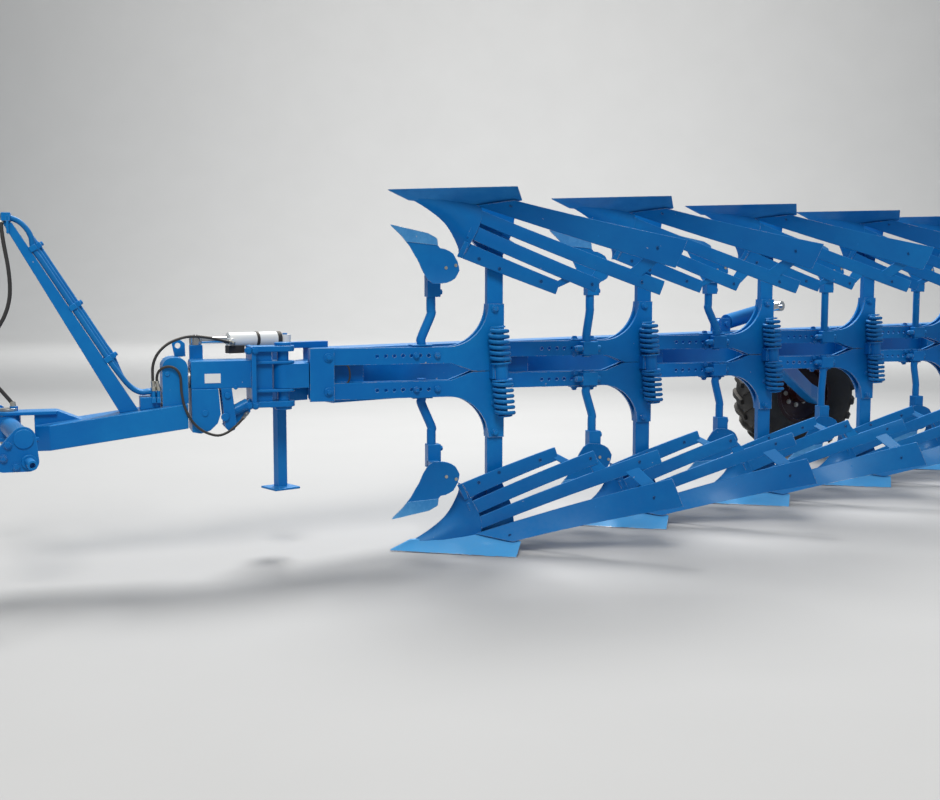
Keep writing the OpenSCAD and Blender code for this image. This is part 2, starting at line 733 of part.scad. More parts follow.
// The slats' front ends reach under the breast
slat_lap = [-30, 11, 0];
// A point of a slat: part of its length, and of its width from the upper edge
function slat_point(s, t, w) =
    (s[0] * (1 - t) + s[3] * t) * (1 - w) + (s[1] * (1 - t) + s[2] * t) * w
    + [0, s[4] * 4 * t * (1 - t), 0] + slat_lap * (1 - t);
module slat(s) {
    sheet([for (k = [0 : slat_steps]) [slat_point(s, k / slat_steps, 0), slat_point(s, k / slat_steps, 1)]],
        [0, 1, 0], slat_thickness);
}
// Braces behind the slats: first slat, second slat, where along each
braces = [[0, 1, 0.94, 0.62], [1, 2, 0.93, 0.58], [2, 3, 0.93, 0.9]];
brace_width = 0.07;
module brace(b) {
    behind = [0, slat_thickness - 3, 0];
    sheet([
        [slat_point(slats[b[0]], b[2] - brace_width, 0.5) + behind, slat_point(slats[b[0]], b[2], 0.5) + behind],
        [slat_point(slats[b[1]], b[3] - brace_width, 0.5) + behind, slat_point(slats[b[1]], b[3], 0.5) + behind]
    ], [0, 1, 0], slat_thickness);
}
module one_body() {
    translate([-leg_width / 2, -leg_thickness / 2, split_gap + 30])
        cube([leg_width, leg_thickness, leg_end - split_gap - 30]);
    // Frog behind the breast, from the leg down to the share
    translate([0, leg_thickness / 2, 0]) rotate([90, 0, 0]) linear_extrude(leg_thickness - 12) polygon([
        [-leg_width / 2, leg_end - 120], [leg_width / 2, leg_end - 120], [90, leg_end], [110, 790],
        [-260, 790], [-190, 700], [-120, leg_end - 30]
    ]);
    // Landside along the furrow wall
    translate([-200, leg_thickness / 2, 745]) cube([270, 14, 77]);
    sheet([[share_tip, share_heel], [share_middle, share_fold], [share_wing, share_rear]],
        share_way, share_thickness);
    sheet([for (k = [0 : len(breast_edge) - 1])
        [breast_edge[k], (breast_edge[k] + breast_rear[k]) / 2 + [0, -10, 0], breast_rear[k]]],
        [0.35, 1, 0], slat_thickness);
    for (s = slats) slat(s);
    for (b = braces) brace(b);
    // Stays from the frog to the slats
    bar([20, 0, 620], slat_point(slats[1], 0.6, 0.5) + [0, 12, 0], 22);
    bar([60, 0, 740], slat_point(slats[3], 0.6, 0.4) + [0, 14, 0], 26);
}
module bodies(i) {
    color(blue) pair(i) both_ways() one_body();
}

// Overload springs: two coils one above the other, on a bracket at the near side of the leg
spring_along = 9;
spring_across = -console_half - coil_diameter / 2 - 3;
spring_lean = 5;
spring_start = 42;
bracket_half = 34;
coil_steps = 9;
coil_sides = 6;
// How far the coil's ends are let into their seats
seat_bite = 3;
module coil() {
    n = floor(coil_turns * coil_steps);
    middle = (coil_diameter - coil_wire) / 2;
    points = [for (k = [0 : n], j = [0 : coil_sides - 1])
        let (a = 360 * k / coil_steps, b = 360 * j / coil_sides, out = middle + coil_wire / 2 * cos(b))
        [out * cos(a), out * sin(a),
            coil_wire / 2 + (coil_length - coil_wire) * k / n + coil_wire / 2 * sin(b)]];
    walls = [for (k = [0 : n - 1], j = [0 : coil_sides - 1])
        let (p = k * coil_sides, m = (j + 1) % coil_sides)
        each [[p + j, p + m, p + coil_sides + j], [p + m, p + coil_sides + m, p + coil_sides + j]]];
    first = [for (j = [coil_sides - 1 : -1 : 0]) j];
    last = [for (j = [0 : coil_sides - 1]) n * coil_sides + j];
    polyhedron(points = points, faces = concat(walls, [first], [last]));
}
module springs(i) {
    color(blue) pair(i) {
        translate([-bracket_half, spring_across - 12, -bracket_half])
            cube([2 * bracket_half, -console_half - spring_across + 12, 2 * bracket_half]);
        translate([spring_along, spring_across, 0]) rotate([0, -spring_lean, 0]) {
            cylinder(d = 28, h = 2 * (spring_start + coil_length), center = true);
            both_ways() {
                translate([0, 0, bracket_half - 4])
                    cylinder(d = coil_diameter - 6, h = spring_start + seat_bite - bracket_half + 4);
                translate([0, 0, spring_start]) coil();
                translate([0, 0, spring_start + coil_length - seat_bite])
                    cylinder(d = coil_diameter - 24, h = 8);
            }
        }
    }
}

// Skimmers: a cranked round stalk in a clamp beside each rail, with a holder and a small blade
// Rows of the blade, from its tip: front along, front up, rear along, rear up
blade_rows = [
    [-488, 655, -474, 659],
    [-462, 629, -408, 643],
    [-438, 602, -342, 627],
    [-424, 582, -303, 606],
    [-410, 562, -292, 565],
    [-396, 535, -244, 545],
    [-381, 509, -211, 500],
    [-372, 487, -203, 457],
    [-363, 464, -228, 420],
    [-352, 443, -269, 403],
    [-341, 424, -309, 401]
];
blade_thick = 9;
blade_back = -52;
clamp_depth = 54;
stalk_bend = 155;
stalk_upper = 255;
stalk_end = 400;
holder = [66, 64, 84];
// How far each stalk's end stands behind its foot: upper, lower
stalk_shifts = [[46, 46], [16, 32], [-52, 28], [0, -8], [0, 18], [30, 30]];
// The blade winds to the near side as it runs back
function blade_point(along, up) =
    [along, -24 - 0.33 * (along + 496) + 0.05 * (up - 664) + 0.0006 * (up - 520) * (up - 520), up];
module skimmer(side, shift) {
    across = side * (console_half + stalk_diameter / 2 + 1);
    moved = -stalk_ahead + shift;
    bar([-stalk_ahead, across, rail_low - 6], [-stalk_ahead, across, stalk_bend], stalk_diameter);
    translate([-stalk_ahead, across, stalk_bend]) sphere(d = stalk_diameter + 2);
    bar([-stalk_ahead, across, stalk_bend], [moved, across, stalk_upper], stalk_diameter);
    translate([moved, across, stalk_upper]) sphere(d = stalk_diameter + 2);
    bar([moved, across, stalk_upper], [moved, across, stalk_end], stalk_diameter);
    translate([-stalk_ahead - 52, side < 0 ? -console_half - clamp_depth : console_half, rail_low + 6])
        cube([104, clamp_depth, rail_height - 12]);
    // Holder from the stalk to the blade
    translate([moved - holder[0] / 2, min(across, -50) - holder[1] / 2, 362])
        cube([holder[0], abs(across + 50) + holder[1], holder[2]]);
    translate([moved + stalk_ahead - stalk_shifts[0][0], 0, 0]) {
        sheet([for (b = blade_rows) [
                blade_point(b[0], b[1]),
                blade_point((b[0] + b[2]) / 2, (b[1] + b[3]) / 2),
                blade_point(b[2], b[3])
            ]],
            [0.2, 1, -0.1], blade_thick);
        translate([0, blade_back, 0]) rotate([90, 0, 0]) linear_extrude(36) polygon([
            [-318, 400], [-254, 400], [-246, 480], [-300, 540]
        ]);
    }
}
module skimmers(i) {
    side = i == 1 ? 1 : -1;
    color(blue) pair(i) {
        skimmer(side, stalk_shifts[i - 1][0]);
        mirror([0, 0, 1]) skimmer(side, stalk_shifts[i - 1][1]);
    }
}

main_beam();
beam_head();
pivot_pin();
turnover_box();
turnover_shaft();
turnover_drive();
drawbar();
turnover_housing();
steering_pin();
headstock();
mast();
mast_hoses();
hose_manifold();
swing_base();
swing_barrel();
swing_rod();
stand_sleeve();
stand_leg();
wheel_bracket();
wheel_arm();
wheel_rim();
wheel_tyre();
wheel_base();
wheel_barrel();
wheel_rod();
for (i = [1 : pairs]) {
    console(i);
    bodies(i);
    springs(i);
    skimmers(i);
}
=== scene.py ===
import json
import math

import bmesh
import bpy
from mathutils import Matrix, Vector

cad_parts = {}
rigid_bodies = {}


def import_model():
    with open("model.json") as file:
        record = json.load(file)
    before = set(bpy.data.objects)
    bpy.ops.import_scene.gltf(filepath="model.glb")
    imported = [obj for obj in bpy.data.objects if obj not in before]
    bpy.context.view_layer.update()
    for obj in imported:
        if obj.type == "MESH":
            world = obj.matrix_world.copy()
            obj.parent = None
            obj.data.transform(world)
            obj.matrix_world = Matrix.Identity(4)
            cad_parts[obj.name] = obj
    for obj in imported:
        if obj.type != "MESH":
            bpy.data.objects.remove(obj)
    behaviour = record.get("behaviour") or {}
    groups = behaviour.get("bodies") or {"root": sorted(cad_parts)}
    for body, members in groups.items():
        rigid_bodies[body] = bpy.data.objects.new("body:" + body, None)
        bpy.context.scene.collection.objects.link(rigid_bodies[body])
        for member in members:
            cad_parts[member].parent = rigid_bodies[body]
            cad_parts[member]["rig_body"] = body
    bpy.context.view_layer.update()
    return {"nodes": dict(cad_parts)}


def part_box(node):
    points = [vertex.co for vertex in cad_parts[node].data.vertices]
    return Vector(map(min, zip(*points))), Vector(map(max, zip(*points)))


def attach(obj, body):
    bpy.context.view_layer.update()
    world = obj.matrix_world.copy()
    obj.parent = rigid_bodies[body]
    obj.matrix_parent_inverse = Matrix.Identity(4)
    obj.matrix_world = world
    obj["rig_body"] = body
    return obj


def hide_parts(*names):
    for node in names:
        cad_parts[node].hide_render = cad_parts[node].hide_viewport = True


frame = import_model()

bl_info = {
    "name": "Reversible Plough",
    "version": (1, 0, 0),
    "blender": (4, 5, 0),
    "location": "3D View > Sidebar > Plough",
    "description": "Looks of a six pair reversible moldboard plough around its CAD frame",
    "category": "Object",
}

# Places, in metres, in the frame's own axes

PAIRS = 6
PITCH = 1.0
PLOUGH_ANGLE = math.radians(22)
# Leg 1 is the point that the other places are given from: found from the main beam's corners
BEAM_START, BEAM_OFFSET, BEAM_HALF = -0.640, 0.360, 0.110
BEAM_LOW, BEAM_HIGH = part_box("main_beam")
LEG_1 = Vector((BEAM_LOW.x - BEAM_START, BEAM_LOW.y - BEAM_OFFSET, BEAM_HIGH.z - BEAM_HALF))
CONSOLE_HALF = 0.035
TURN_ACROSS = -0.040


def travel_matrix(number=1):
    """A pair's own axes from its leg: X back along the way of travel, Y to the far side, Z up."""
    leg = LEG_1 + Vector(((number - 1) * PITCH, 0, 0))
    return Matrix.Translation(leg) @ Matrix.Rotation(-PLOUGH_ANGLE, 4, "Z")


# Settings


class PaintSettings(bpy.types.PropertyGroup):
    """Colours and ageing of the finishes"""
    blue: bpy.props.FloatVectorProperty(
        name="Blue", description="Colour of the painted steel", subtype="COLOR", size=3, min=0, max=1,
        default=(0.0015, 0.122, 0.410))
    # The faded blue also gives the lighter blue of the painted highlights on top faces and edges
    faded_and_highlight_blue: bpy.props.FloatVectorProperty(
        name="Faded and highlight blue", description="Colour of the paint where the sun has bleached it", subtype="COLOR",
        size=3, min=0, max=1, default=(0.008, 0.225, 0.540))
    cream: bpy.props.FloatVectorProperty(
        name="Cream", description="Colour of the swing cylinder", subtype="COLOR", size=3, min=0, max=1,
        default=(0.74, 0.74, 0.71))
    # A dark red rim paint, made darker still as painted shade of the wheel under the plough
    rim_red: bpy.props.FloatVectorProperty(
        name="Rim red", description="Colour of the wheel's rim", subtype="COLOR", size=3, min=0, max=1,
        default=(0.022, 0.004, 0.004))
    floor: bpy.props.FloatVectorProperty(
        name="Floor", description="Colour of floor and backdrop", subtype="COLOR", size=3, min=0, max=1,
        default=(0.47, 0.465, 0.455))
    wear: bpy.props.FloatProperty(
        name="Edge wear", description="How much paint has gone from the edges", default=0.12, min=0, max=1,
        subtype="FACTOR")
    dust: bpy.props.FloatProperty(
        name="Dust", description="How much dust lies on the faces that look up", default=0.06, min=0, max=1,
        subtype="FACTOR")


class PieceSettings(bpy.types.PropertyGroup):
    """Sizes of edges, bolts and tread"""
    round_edge: bpy.props.FloatProperty(
        name="Edge radius", description="Radius of the rounded steel edges", default=0.003, min=0.0005,
        max=0.01, unit="LENGTH")
    leg_bolt: bpy.props.FloatProperty(
        name="Leg bolt", description="Width across the corners of the heads on the consoles", default=0.023,
        min=0.010, max=0.040, unit="LENGTH")
    big_bolt: bpy.props.FloatProperty(
        name="Large bolt", description="Width across the corners of all other heads", default=0.028,
        min=0.010, max=0.050, unit="LENGTH")
    flush_bolt: bpy.props.FloatProperty(
        name="Flush bolt", description="Diameter of the plough bolts in slats and blades", default=0.015,
        min=0.005, max=0.030, unit="LENGTH")
    tread_lugs: bpy.props.IntProperty(
        name="Tread lugs", description="How many lugs each side of the tyre has", default=22, min=8, max=40)


# Mesh helpers


def finish_mesh(name, bm, material, smooth_angle=35.0):
    """Turns a bmesh into an object whose place is in its mesh."""
    bmesh.ops.recalc_face_normals(bm, faces=bm.faces)
    mesh = bpy.data.meshes.new(name)
    bm.to_mesh(mesh)
    bm.free()
    return finish_object(name, mesh, material, smooth_angle)


def finish_object(name, mesh, material, smooth_angle=35.0):
    """Puts a mesh in the scene with its material, smooth but for its sharp edges."""
    obj = bpy.data.objects.new(name, mesh)
    bpy.context.scene.collection.objects.link(obj)
    mesh.materials.clear()
    mesh.materials.append(material)
    mesh.shade_smooth()
    mesh.set_sharp_from_angle(angle=math.radians(smooth_angle))
    return obj


def apply_modifiers(obj):
    """Turns the object's modifiers into plain mesh."""
    graph = bpy.context.evaluated_depsgraph_get()
    mesh = bpy.data.meshes.new_from_object(obj.evaluated_get(graph))
    old = obj.data
    obj.modifiers.clear()
    obj.data = mesh
    mesh.name = obj.name
    bpy.data.meshes.remove(old)
    return obj


def add_bevel(obj, width):
    """Rounds the edges and keeps the flat faces flat."""
    bevel = obj.modifiers.new("Rounded edges", "BEVEL")
    bevel.width = width
    bevel.segments = 2
    bevel.limit_method = "ANGLE"
    bevel.angle_limit = math.radians(25)
    bevel.use_clamp_overlap = True
    bevel.harden_normals = False
    normals = obj.modifiers.new("Flat faces", "WEIGHTED_NORMAL")
    normals.keep_sharp = True
    return apply_modifiers(obj)


def merged_copy(node):
    """A bmesh of a CAD node's surface, joined up and with its flat faces whole."""
    bm = bmesh.new()
    bm.from_mesh(frame["nodes"][node].data)
    bmesh.ops.remove_doubles(bm, verts=bm.verts, dist=1e-5)
    bmesh.ops.dissolve_limit(bm, angle_limit=math.radians(0.5), verts=bm.verts, edges=bm.edges)
    return bm


def rounded_steel(node, material, width):
    """A CAD node as steel with rounded edges, which stands for it and rides on its body."""
    obj = finish_mesh(node + "_steel", merged_copy(node), material, 30.0)
    add_bevel(obj, width)
    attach(obj, frame["nodes"][node]["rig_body"])
    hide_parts(node)


def add_box(bm, size, matrix):
    """A box with its middle at the matrix."""
    bmesh.ops.create_cube(bm, size=1.0, matrix=matrix @ Matrix.Diagonal((*size, 1.0)))


def add_prism(bm, outline, half, matrix):
    """A plate: an outline in the matrix's X and Z, its thickness along Y from half[0] to half[1]."""
    near = [bm.verts.new(matrix @ Vector((x, half[0], z))) for x, z in outline]
    far = [bm.verts.new(matrix @ Vector((x, half[1], z))) for x, z in outline]
    bm.faces.new(near)
    bm.faces.new(list(reversed(far)))
    n = len(outline)
    for k in range(n):
        bm.faces.new((near[(k + 1) % n], near[k], far[k], far[(k + 1) % n]))


def add_rod(bm, start, end, diameter, sides=24, end_diameter=None):
    """A round bar between two points."""
    way = end - start
    turn = Vector((0, 0, 1)).rotation_difference(way.normalized()).to_matrix().to_4x4()
    bmesh.ops.create_cone(
        bm, cap_ends=True, segments=sides, radius1=diameter / 2, radius2=(end_diameter or diameter) / 2,
        depth=way.length, matrix=Matrix.Translation((start + end) / 2) @ turn)


def add_tube(bm, points, diameter, sides=16):
    """A round tube along points, its ends closed."""
    rings = []
    normal = None
    for k, point in enumerate(points):
        before = points[max(k - 1, 0)]
        after = points[min(k + 1, len(points) - 1)]
        way = (after - before).normalized()
        if normal is None:
            normal = way.orthogonal().normalized()
        normal = (normal - way * normal.dot(way)).normalized()
        side = way.cross(normal)
        rings.append([
            bm.verts.new(point + (normal * math.cos(a) + side * math.sin(a)) * diameter / 2)
            for a in (2 * math.pi * j / sides for j in range(sides))])
    for a, b in zip(rings, rings[1:]):
        for j in range(sides):
            bm.faces.new((a[j], a[(j + 1) % sides], b[(j + 1) % sides], b[j]))
    bm.faces.new(list(reversed(rings[0])))
    bm.faces.new(rings[-1])


def smooth_path(points, steps=8):
    """A smooth curve through points, as a longer list of points."""
    out = []
    n = len(points)
    for k in range(n - 1):
        p0, p1, p2 = points[max(k - 1, 0)], points[k], points[k + 1]
        p3 = points[min(k + 2, n - 1)]
        for j in range(steps):
            t = j / steps
            out.append(0.5 * (
                2 * p1 + (p2 - p0) * t + (2 * p0 - 5 * p1 + 4 * p2 - p3) * t * t
                + (3 * p1 - p0 - 3 * p2 + p3) * t ** 3))
    out.append(points[-1].copy())
    return out


# Materials


class Nodes:
    """Short ways to add and join the nodes of one tree."""

    def __init__(self, tree):
        self.tree = tree

    def add(self, kind, settings=None, **sockets):
        node = self.tree.nodes.new(kind)
        for key, value in (settings or {}).items():
            setattr(node, key, value)
        for key, value in sockets.items():
            self.set(node, key.replace("_", " "), value)
        return node

    def set(self, node, name, value):
        socket = node.inputs[int(name[1:])] if name[0] == "i" and name[1:].isdigit() else node.inputs[name]
        if isinstance(value, bpy.types.NodeSocket):
            self.tree.links.new(value, socket)
        else:
            socket.default_value = value

    def math(self, operation, a, b=0.0, clamp=False):
        node = self.add("ShaderNodeMath", {"operation": operation, "use_clamp": clamp}, i0=a, i1=b)
        return node.outputs[0]

    def band(self, value, low, high):
        """0 below low and 1 above high."""
        node = self.add("ShaderNodeMapRange", {"interpolation_type": "SMOOTHSTEP"}, Value=value)
        node.inputs["From Min"].default_value = low
        node.inputs["From Max"].default_value = high
        return node.outputs["Result"]

    def noise(self, vector, scale, detail=3.0, roughness=0.5):
        node = self.add("ShaderNodeTexNoise", Vector=vector, Scale=scale, Detail=detail, Roughness=roughness)
        return node.outputs["Fac"]

    def mix(self, factor, a, b):
        node = self.add("ShaderNodeMix", {"data_type": "RGBA"})
        self.set(node, "i0", factor)
        self.set(node, "i6", a)
        self.set(node, "i7", b)
        return node.outputs[2]


def new_group(name, inputs, outputs):
    """A shader node group of number sockets: the inputs with their defaults, and the outputs' names."""
    tree = bpy.data.node_groups.new(name, "ShaderNodeTree")
    for label, default in inputs.items():
        socket = tree.interface.new_socket(label, in_out="INPUT", socket_type="NodeSocketFloat")
        socket.default_value = default
    for label in outputs:
        tree.interface.new_socket(label, in_out="OUTPUT", socket_type="NodeSocketFloat")
    nodes = Nodes(tree)
    return nodes, nodes.add("NodeGroupInput"), nodes.add("NodeGroupOutput")


def build_edge_wear_and_highlight():
    """Masks of worn paint along edges and of chips on the faces, and the edge mask that drives the painted
    edge highlight.
    """
    inputs = {"Radius": 0.004, "Amount": 0.35, "Seed": 0.0}
    n, given, out = new_group("Edge Wear and Highlight", inputs, ("Worn", "Near Edge"))
    place = n.add("ShaderNodeTexCoord").outputs["Object"]
    shift = n.add("ShaderNodeVectorMath", {"operation": "ADD"}, i0=place, i1=given.outputs["Seed"])
    shifted = shift.outputs[0]
    soft = n.add("ShaderNodeBevel", {"samples": 6}, Radius=given.outputs["Radius"]).outputs[0]
    true = n.add("ShaderNodeNewGeometry").outputs["Normal"]
    along = n.add("ShaderNodeVectorMath", {"operation": "DOT_PRODUCT"}, i0=soft, i1=true).outputs["Value"]
    edge = n.band(n.math("SUBTRACT", 1.0, along), 0.01, 0.12)
    coarse = n.noise(shifted, 9.0, 4.0, 0.6)
    fine = n.noise(shifted, 70.0, 3.0, 0.6)
    patchy = n.math("MULTIPLY", edge, n.math("ADD", coarse, n.math("MULTIPLY", fine, 0.6)))
    limit = n.math("SUBTRACT", 1.15, n.math("MULTIPLY", given.outputs["Amount"], 0.6))
    worn = n.math("MULTIPLY", n.math("SUBTRACT", patchy, n.math("MULTIPLY", limit, 0.72)), 9.0, clamp=True)
    chips = n.band(n.math("ADD", n.noise(shifted, 46.0, 2.0), n.math("MULTIPLY", coarse, 0.5)), 1.04, 1.08)
    n.set(out, "Worn", n.math("MAXIMUM", worn, n.math("MULTIPLY", chips, 0.8)))
    n.set(out, "Near Edge", edge)
    return n.tree


def build_dust():
    """A mask of dust: on faces that look up, in patches, and in a thin film low down."""
    n, given, out = new_group("Dust Film", {"Amount": 0.25}, ("Dust",))
    place = n.add("ShaderNodeTexCoord").outputs["Object"]
    normal = n.add("ShaderNodeNewGeometry").outputs["Normal"]
    up = n.add("ShaderNodeSeparateXYZ", Vector=normal).outputs["Z"]
    height = n.add("ShaderNodeSeparateXYZ", Vector=place).outputs["Z"]
    specks = n.math("MULTIPLY", n.noise(place, 60.0, 3.0), 0.35)
    patches = n.math("ADD", n.noise(place, 5.0, 5.0, 0.65), specks)
    lying = n.math("MULTIPLY", n.band(up, 0.25, 0.95), n.band(patches, 0.45, 0.85))
    low = n.band(n.math("SUBTRACT", 0.55, height), 0.0, 0.55)
    splash = n.math("MULTIPLY", low, n.band(patches, 0.5, 0.9))
    both = n.math("ADD", n.math("MULTIPLY", lying, 0.8), n.math("MULTIPLY", splash, 0.45))
    n.set(out, "Dust", n.math("MULTIPLY", both, given.outputs["Amount"], clamp=True))
    return n.tree


def build_mottle():
    """Slow and fine variation of a finish, and its orange peel as a height."""
    n, given, out = new_group("Paint Mottle", {"Scale": 1.0}, ("Slow", "Fine", "Peel"))
    place = n.add("ShaderNodeTexCoord").outputs["Object"]
    scaled = n.add("ShaderNodeVectorMath", {"operation": "SCALE"}, i0=place, Scale=given.outputs["Scale"])
    sized = scaled.outputs[0]
    n.set(out, "Slow", n.band(n.noise(sized, 1.7, 4.0, 0.6), 0.3, 0.7))
    n.set(out, "Fine", n.noise(sized, 24.0, 5.0, 0.7))
    waves = n.math("MULTIPLY", n.noise(sized, 30.0, 2.0), 1.6)
    n.set(out, "Peel", n.math("ADD", n.noise(sized, 260.0, 2.0), waves))
    return n.tree


def build_top_highlight():
    """A mask of painted highlight: strongest on faces that look straight up."""
    n, given, out = new_group("Painted Top Highlight", {"Amount": 0.5}, ("Bleached",))
    normal = n.add("ShaderNodeNewGeometry").outputs["Normal"]
    up = n.band(n.add("ShaderNodeSeparateXYZ", Vector=normal).outputs["Z"], 0.1, 0.95)
    n.set(out, "Bleached", n.math("MULTIPLY", up, given.outputs["Amount"]))
    return n.tree


def build_scratches():
    """Fine scratches that run along X."""
    n, _, out = new_group("Fine Scratches", {}, ("Lines",))
    place = n.add("ShaderNodeTexCoord").outputs["Object"]
    stretched = n.add("ShaderNodeMapping", Vector=place)
    stretched.inputs["Scale"].default_value = (8.0, 90.0, 90.0)
    n.set(out, "Lines", n.noise(stretched.outputs[0], 6.0, 3.0, 0.6))
    return n.tree


GROUPS = {}


def group(n, name, **sockets):
    """Adds one of the shared groups to a material's tree."""
    node = n.add("ShaderNodeGroup", {"node_tree": GROUPS[name]})
    for key, value in sockets.items():
        n.set(node, key.replace("_", " "), value)
    return node


def new_material(name):
    """A material with one Principled shader: the material, its nodes and the shader."""
    material = bpy.data.materials.new(name)
    material.use_nodes = True
    tree = material.node_tree
    tree.nodes.clear()
    n = Nodes(tree)
    shader = n.add("ShaderNodeBsdfPrincipled")
    surface = n.add("ShaderNodeOutputMaterial")
    tree.links.new(shader.outputs[0], surface.inputs["Surface"])
    return material, n, shader


def rgb(colour):
    """A colour as a socket takes it."""
    return (*colour, 1.0)


STEEL_COLOUR = (0.46, 0.46, 0.45)
RUST_COLOUR = (0.16, 0.065, 0.03)
DUST_COLOUR = (0.42, 0.37, 0.30)
DRY_MUD_COLOUR = (0.19, 0.17, 0.145)
RUBBER_COLOUR = (0.02, 0.02, 0.02)
# Light that the paint throws back at a glance is bluer than the lamps
GLANCE_TINT = (0.45, 0.78, 1.0)


def paint_material(
        name, colour, faded_and_highlight, wear, dust, roughness=0.33, radius=0.004, seed=0.0, under=STEEL_COLOUR,
        bleach=0.5):
    """Sprayed paint: bleached in patches, lighter where it looks up and along its edges as painted highlight,
    gone from edges, with dust on top.
    """
    material, n, shader = new_material(name)
    mottle = group(n, "Paint Mottle", Scale=1.0)
    edges = group(n, "Edge Wear and Highlight", Radius=radius, Amount=wear, Seed=seed)
    film = group(n, "Dust Film", Amount=dust)
    fade = n.math("MULTIPLY", mottle.outputs["Slow"], n.math("ADD", 0.3, mottle.outputs["Fine"]), clamp=True)
    painted = n.mix(n.math("MULTIPLY", fade, 0.55), rgb(colour), rgb(faded_and_highlight))
    # The lighter blue of the painted highlights on top faces and edges
    highlight_colour = [c * 1.3 + 0.02 for c in faded_and_highlight]
    # Painted highlight: faces that look up are mixed toward a lighter blue, standing in for the light that
    # falls on them
    sun = group(n, "Painted Top Highlight", Amount=bleach)
    painted = n.mix(sun.outputs["Bleached"], painted, rgb(highlight_colour))
    # Painted highlight: edges are mixed toward a lighter blue, standing in for the light that they catch
    painted = n.mix(n.math("MULTIPLY", edges.outputs["Near Edge"], 0.5), painted, rgb(highlight_colour))
    worn = n.mix(edges.outputs["Worn"], painted, rgb(under))
    n.set(shader, "Base Color", n.mix(film.outputs["Dust"], worn, rgb(DUST_COLOUR)))
    n.set(shader, "Metallic", n.math("MULTIPLY", edges.outputs["Worn"], 0.75))
    rough = n.math("ADD", roughness - 0.06, n.math("MULTIPLY", mottle.outputs["Fine"], 0.16))
    rough = n.math("ADD", rough, n.math("MULTIPLY", film.outputs["Dust"], 0.45), clamp=True)
    n.set(shader, "Roughness", rough)
    height = n.math("SUBTRACT", n.math("MULTIPLY", mottle.outputs["Peel"], 0.10), edges.outputs["Worn"])
    bump = n.add("ShaderNodeBump", Strength=0.16, Distance=0.0006, Height=height)
    n.set(shader, "Normal", bump.outputs[0])
    shader.inputs["Specular IOR Level"].default_value = 0.30
    shader.inputs["Specular Tint"].default_value = rgb(GLANCE_TINT)
    shader.inputs["Coat Weight"].default_value = 0.05
    shader.inputs["Coat Roughness"].default_value = 0.14
    return material


def metal_material(name, colour, roughness, rust=0.0, streak=0.0):
    """Bare or plated steel with fine scratches and, where wanted, thin rust."""
    material, n, shader = new_material(name)
    mottle = group(n, "Paint Mottle", Scale=1.4)
    lines = group(n, "Fine Scratches").outputs["Lines"]
    rusty = n.math("MULTIPLY", n.band(mottle.outputs["Fine"], 0.62 - 0.25 * rust, 0.78), rust)
    darker = [c * 0.72 for c in colour]
    dull = n.mix(n.math("MULTIPLY", mottle.outputs["Slow"], 0.4), rgb(colour), rgb(darker))
    n.set(shader, "Base Color", n.mix(rusty, dull, rgb(RUST_COLOUR)))
    n.set(shader, "Metallic", n.math("SUBTRACT", 1.0, n.math("MULTIPLY", rusty, 0.8)))
    rough = n.math("ADD", roughness, n.math("MULTIPLY", lines, streak))
    n.set(shader, "Roughness", n.math("ADD", rough, n.math("MULTIPLY", rusty, 0.4), clamp=True))
    bump = n.add("ShaderNodeBump", Strength=0.12, Distance=0.0003, Height=lines)
    n.set(shader, "Normal", bump.outputs[0])
    return material


def rubber_material(name, colour, dusty, scale=1.0):
    """Black rubber, greyed by dust, with a fine grain."""
    material, n, shader = new_material(name)
    mottle = group(n, "Paint Mottle", Scale=scale)
    film = group(n, "Dust Film", Amount=dusty)
    greyer = [c * 2.2 + 0.012 for c in colour]
    grey = n.mix(n.math("MULTIPLY", mottle.outputs["Slow"], 0.5), rgb(colour), rgb(greyer))
    worn = n.mix(n.math("MULTIPLY", mottle.outputs["Fine"], 0.25 * dusty), grey, rgb(DRY_MUD_COLOUR))
    n.set(shader, "Base Color", n.mix(film.outputs["Dust"], worn, rgb(DUST_COLOUR)))
    matt = n.math("MULTIPLY", mottle.outputs["Fine"], 0.35)
    n.set(shader, "Roughness", n.math("ADD", 0.55, matt, clamp=True))
    bump = n.add("ShaderNodeBump", Strength=0.3, Distance=0.0005, Height=mottle.outputs["Peel"])
    n.set(shader, "Normal", bump.outputs[0])
    return material


M = {}


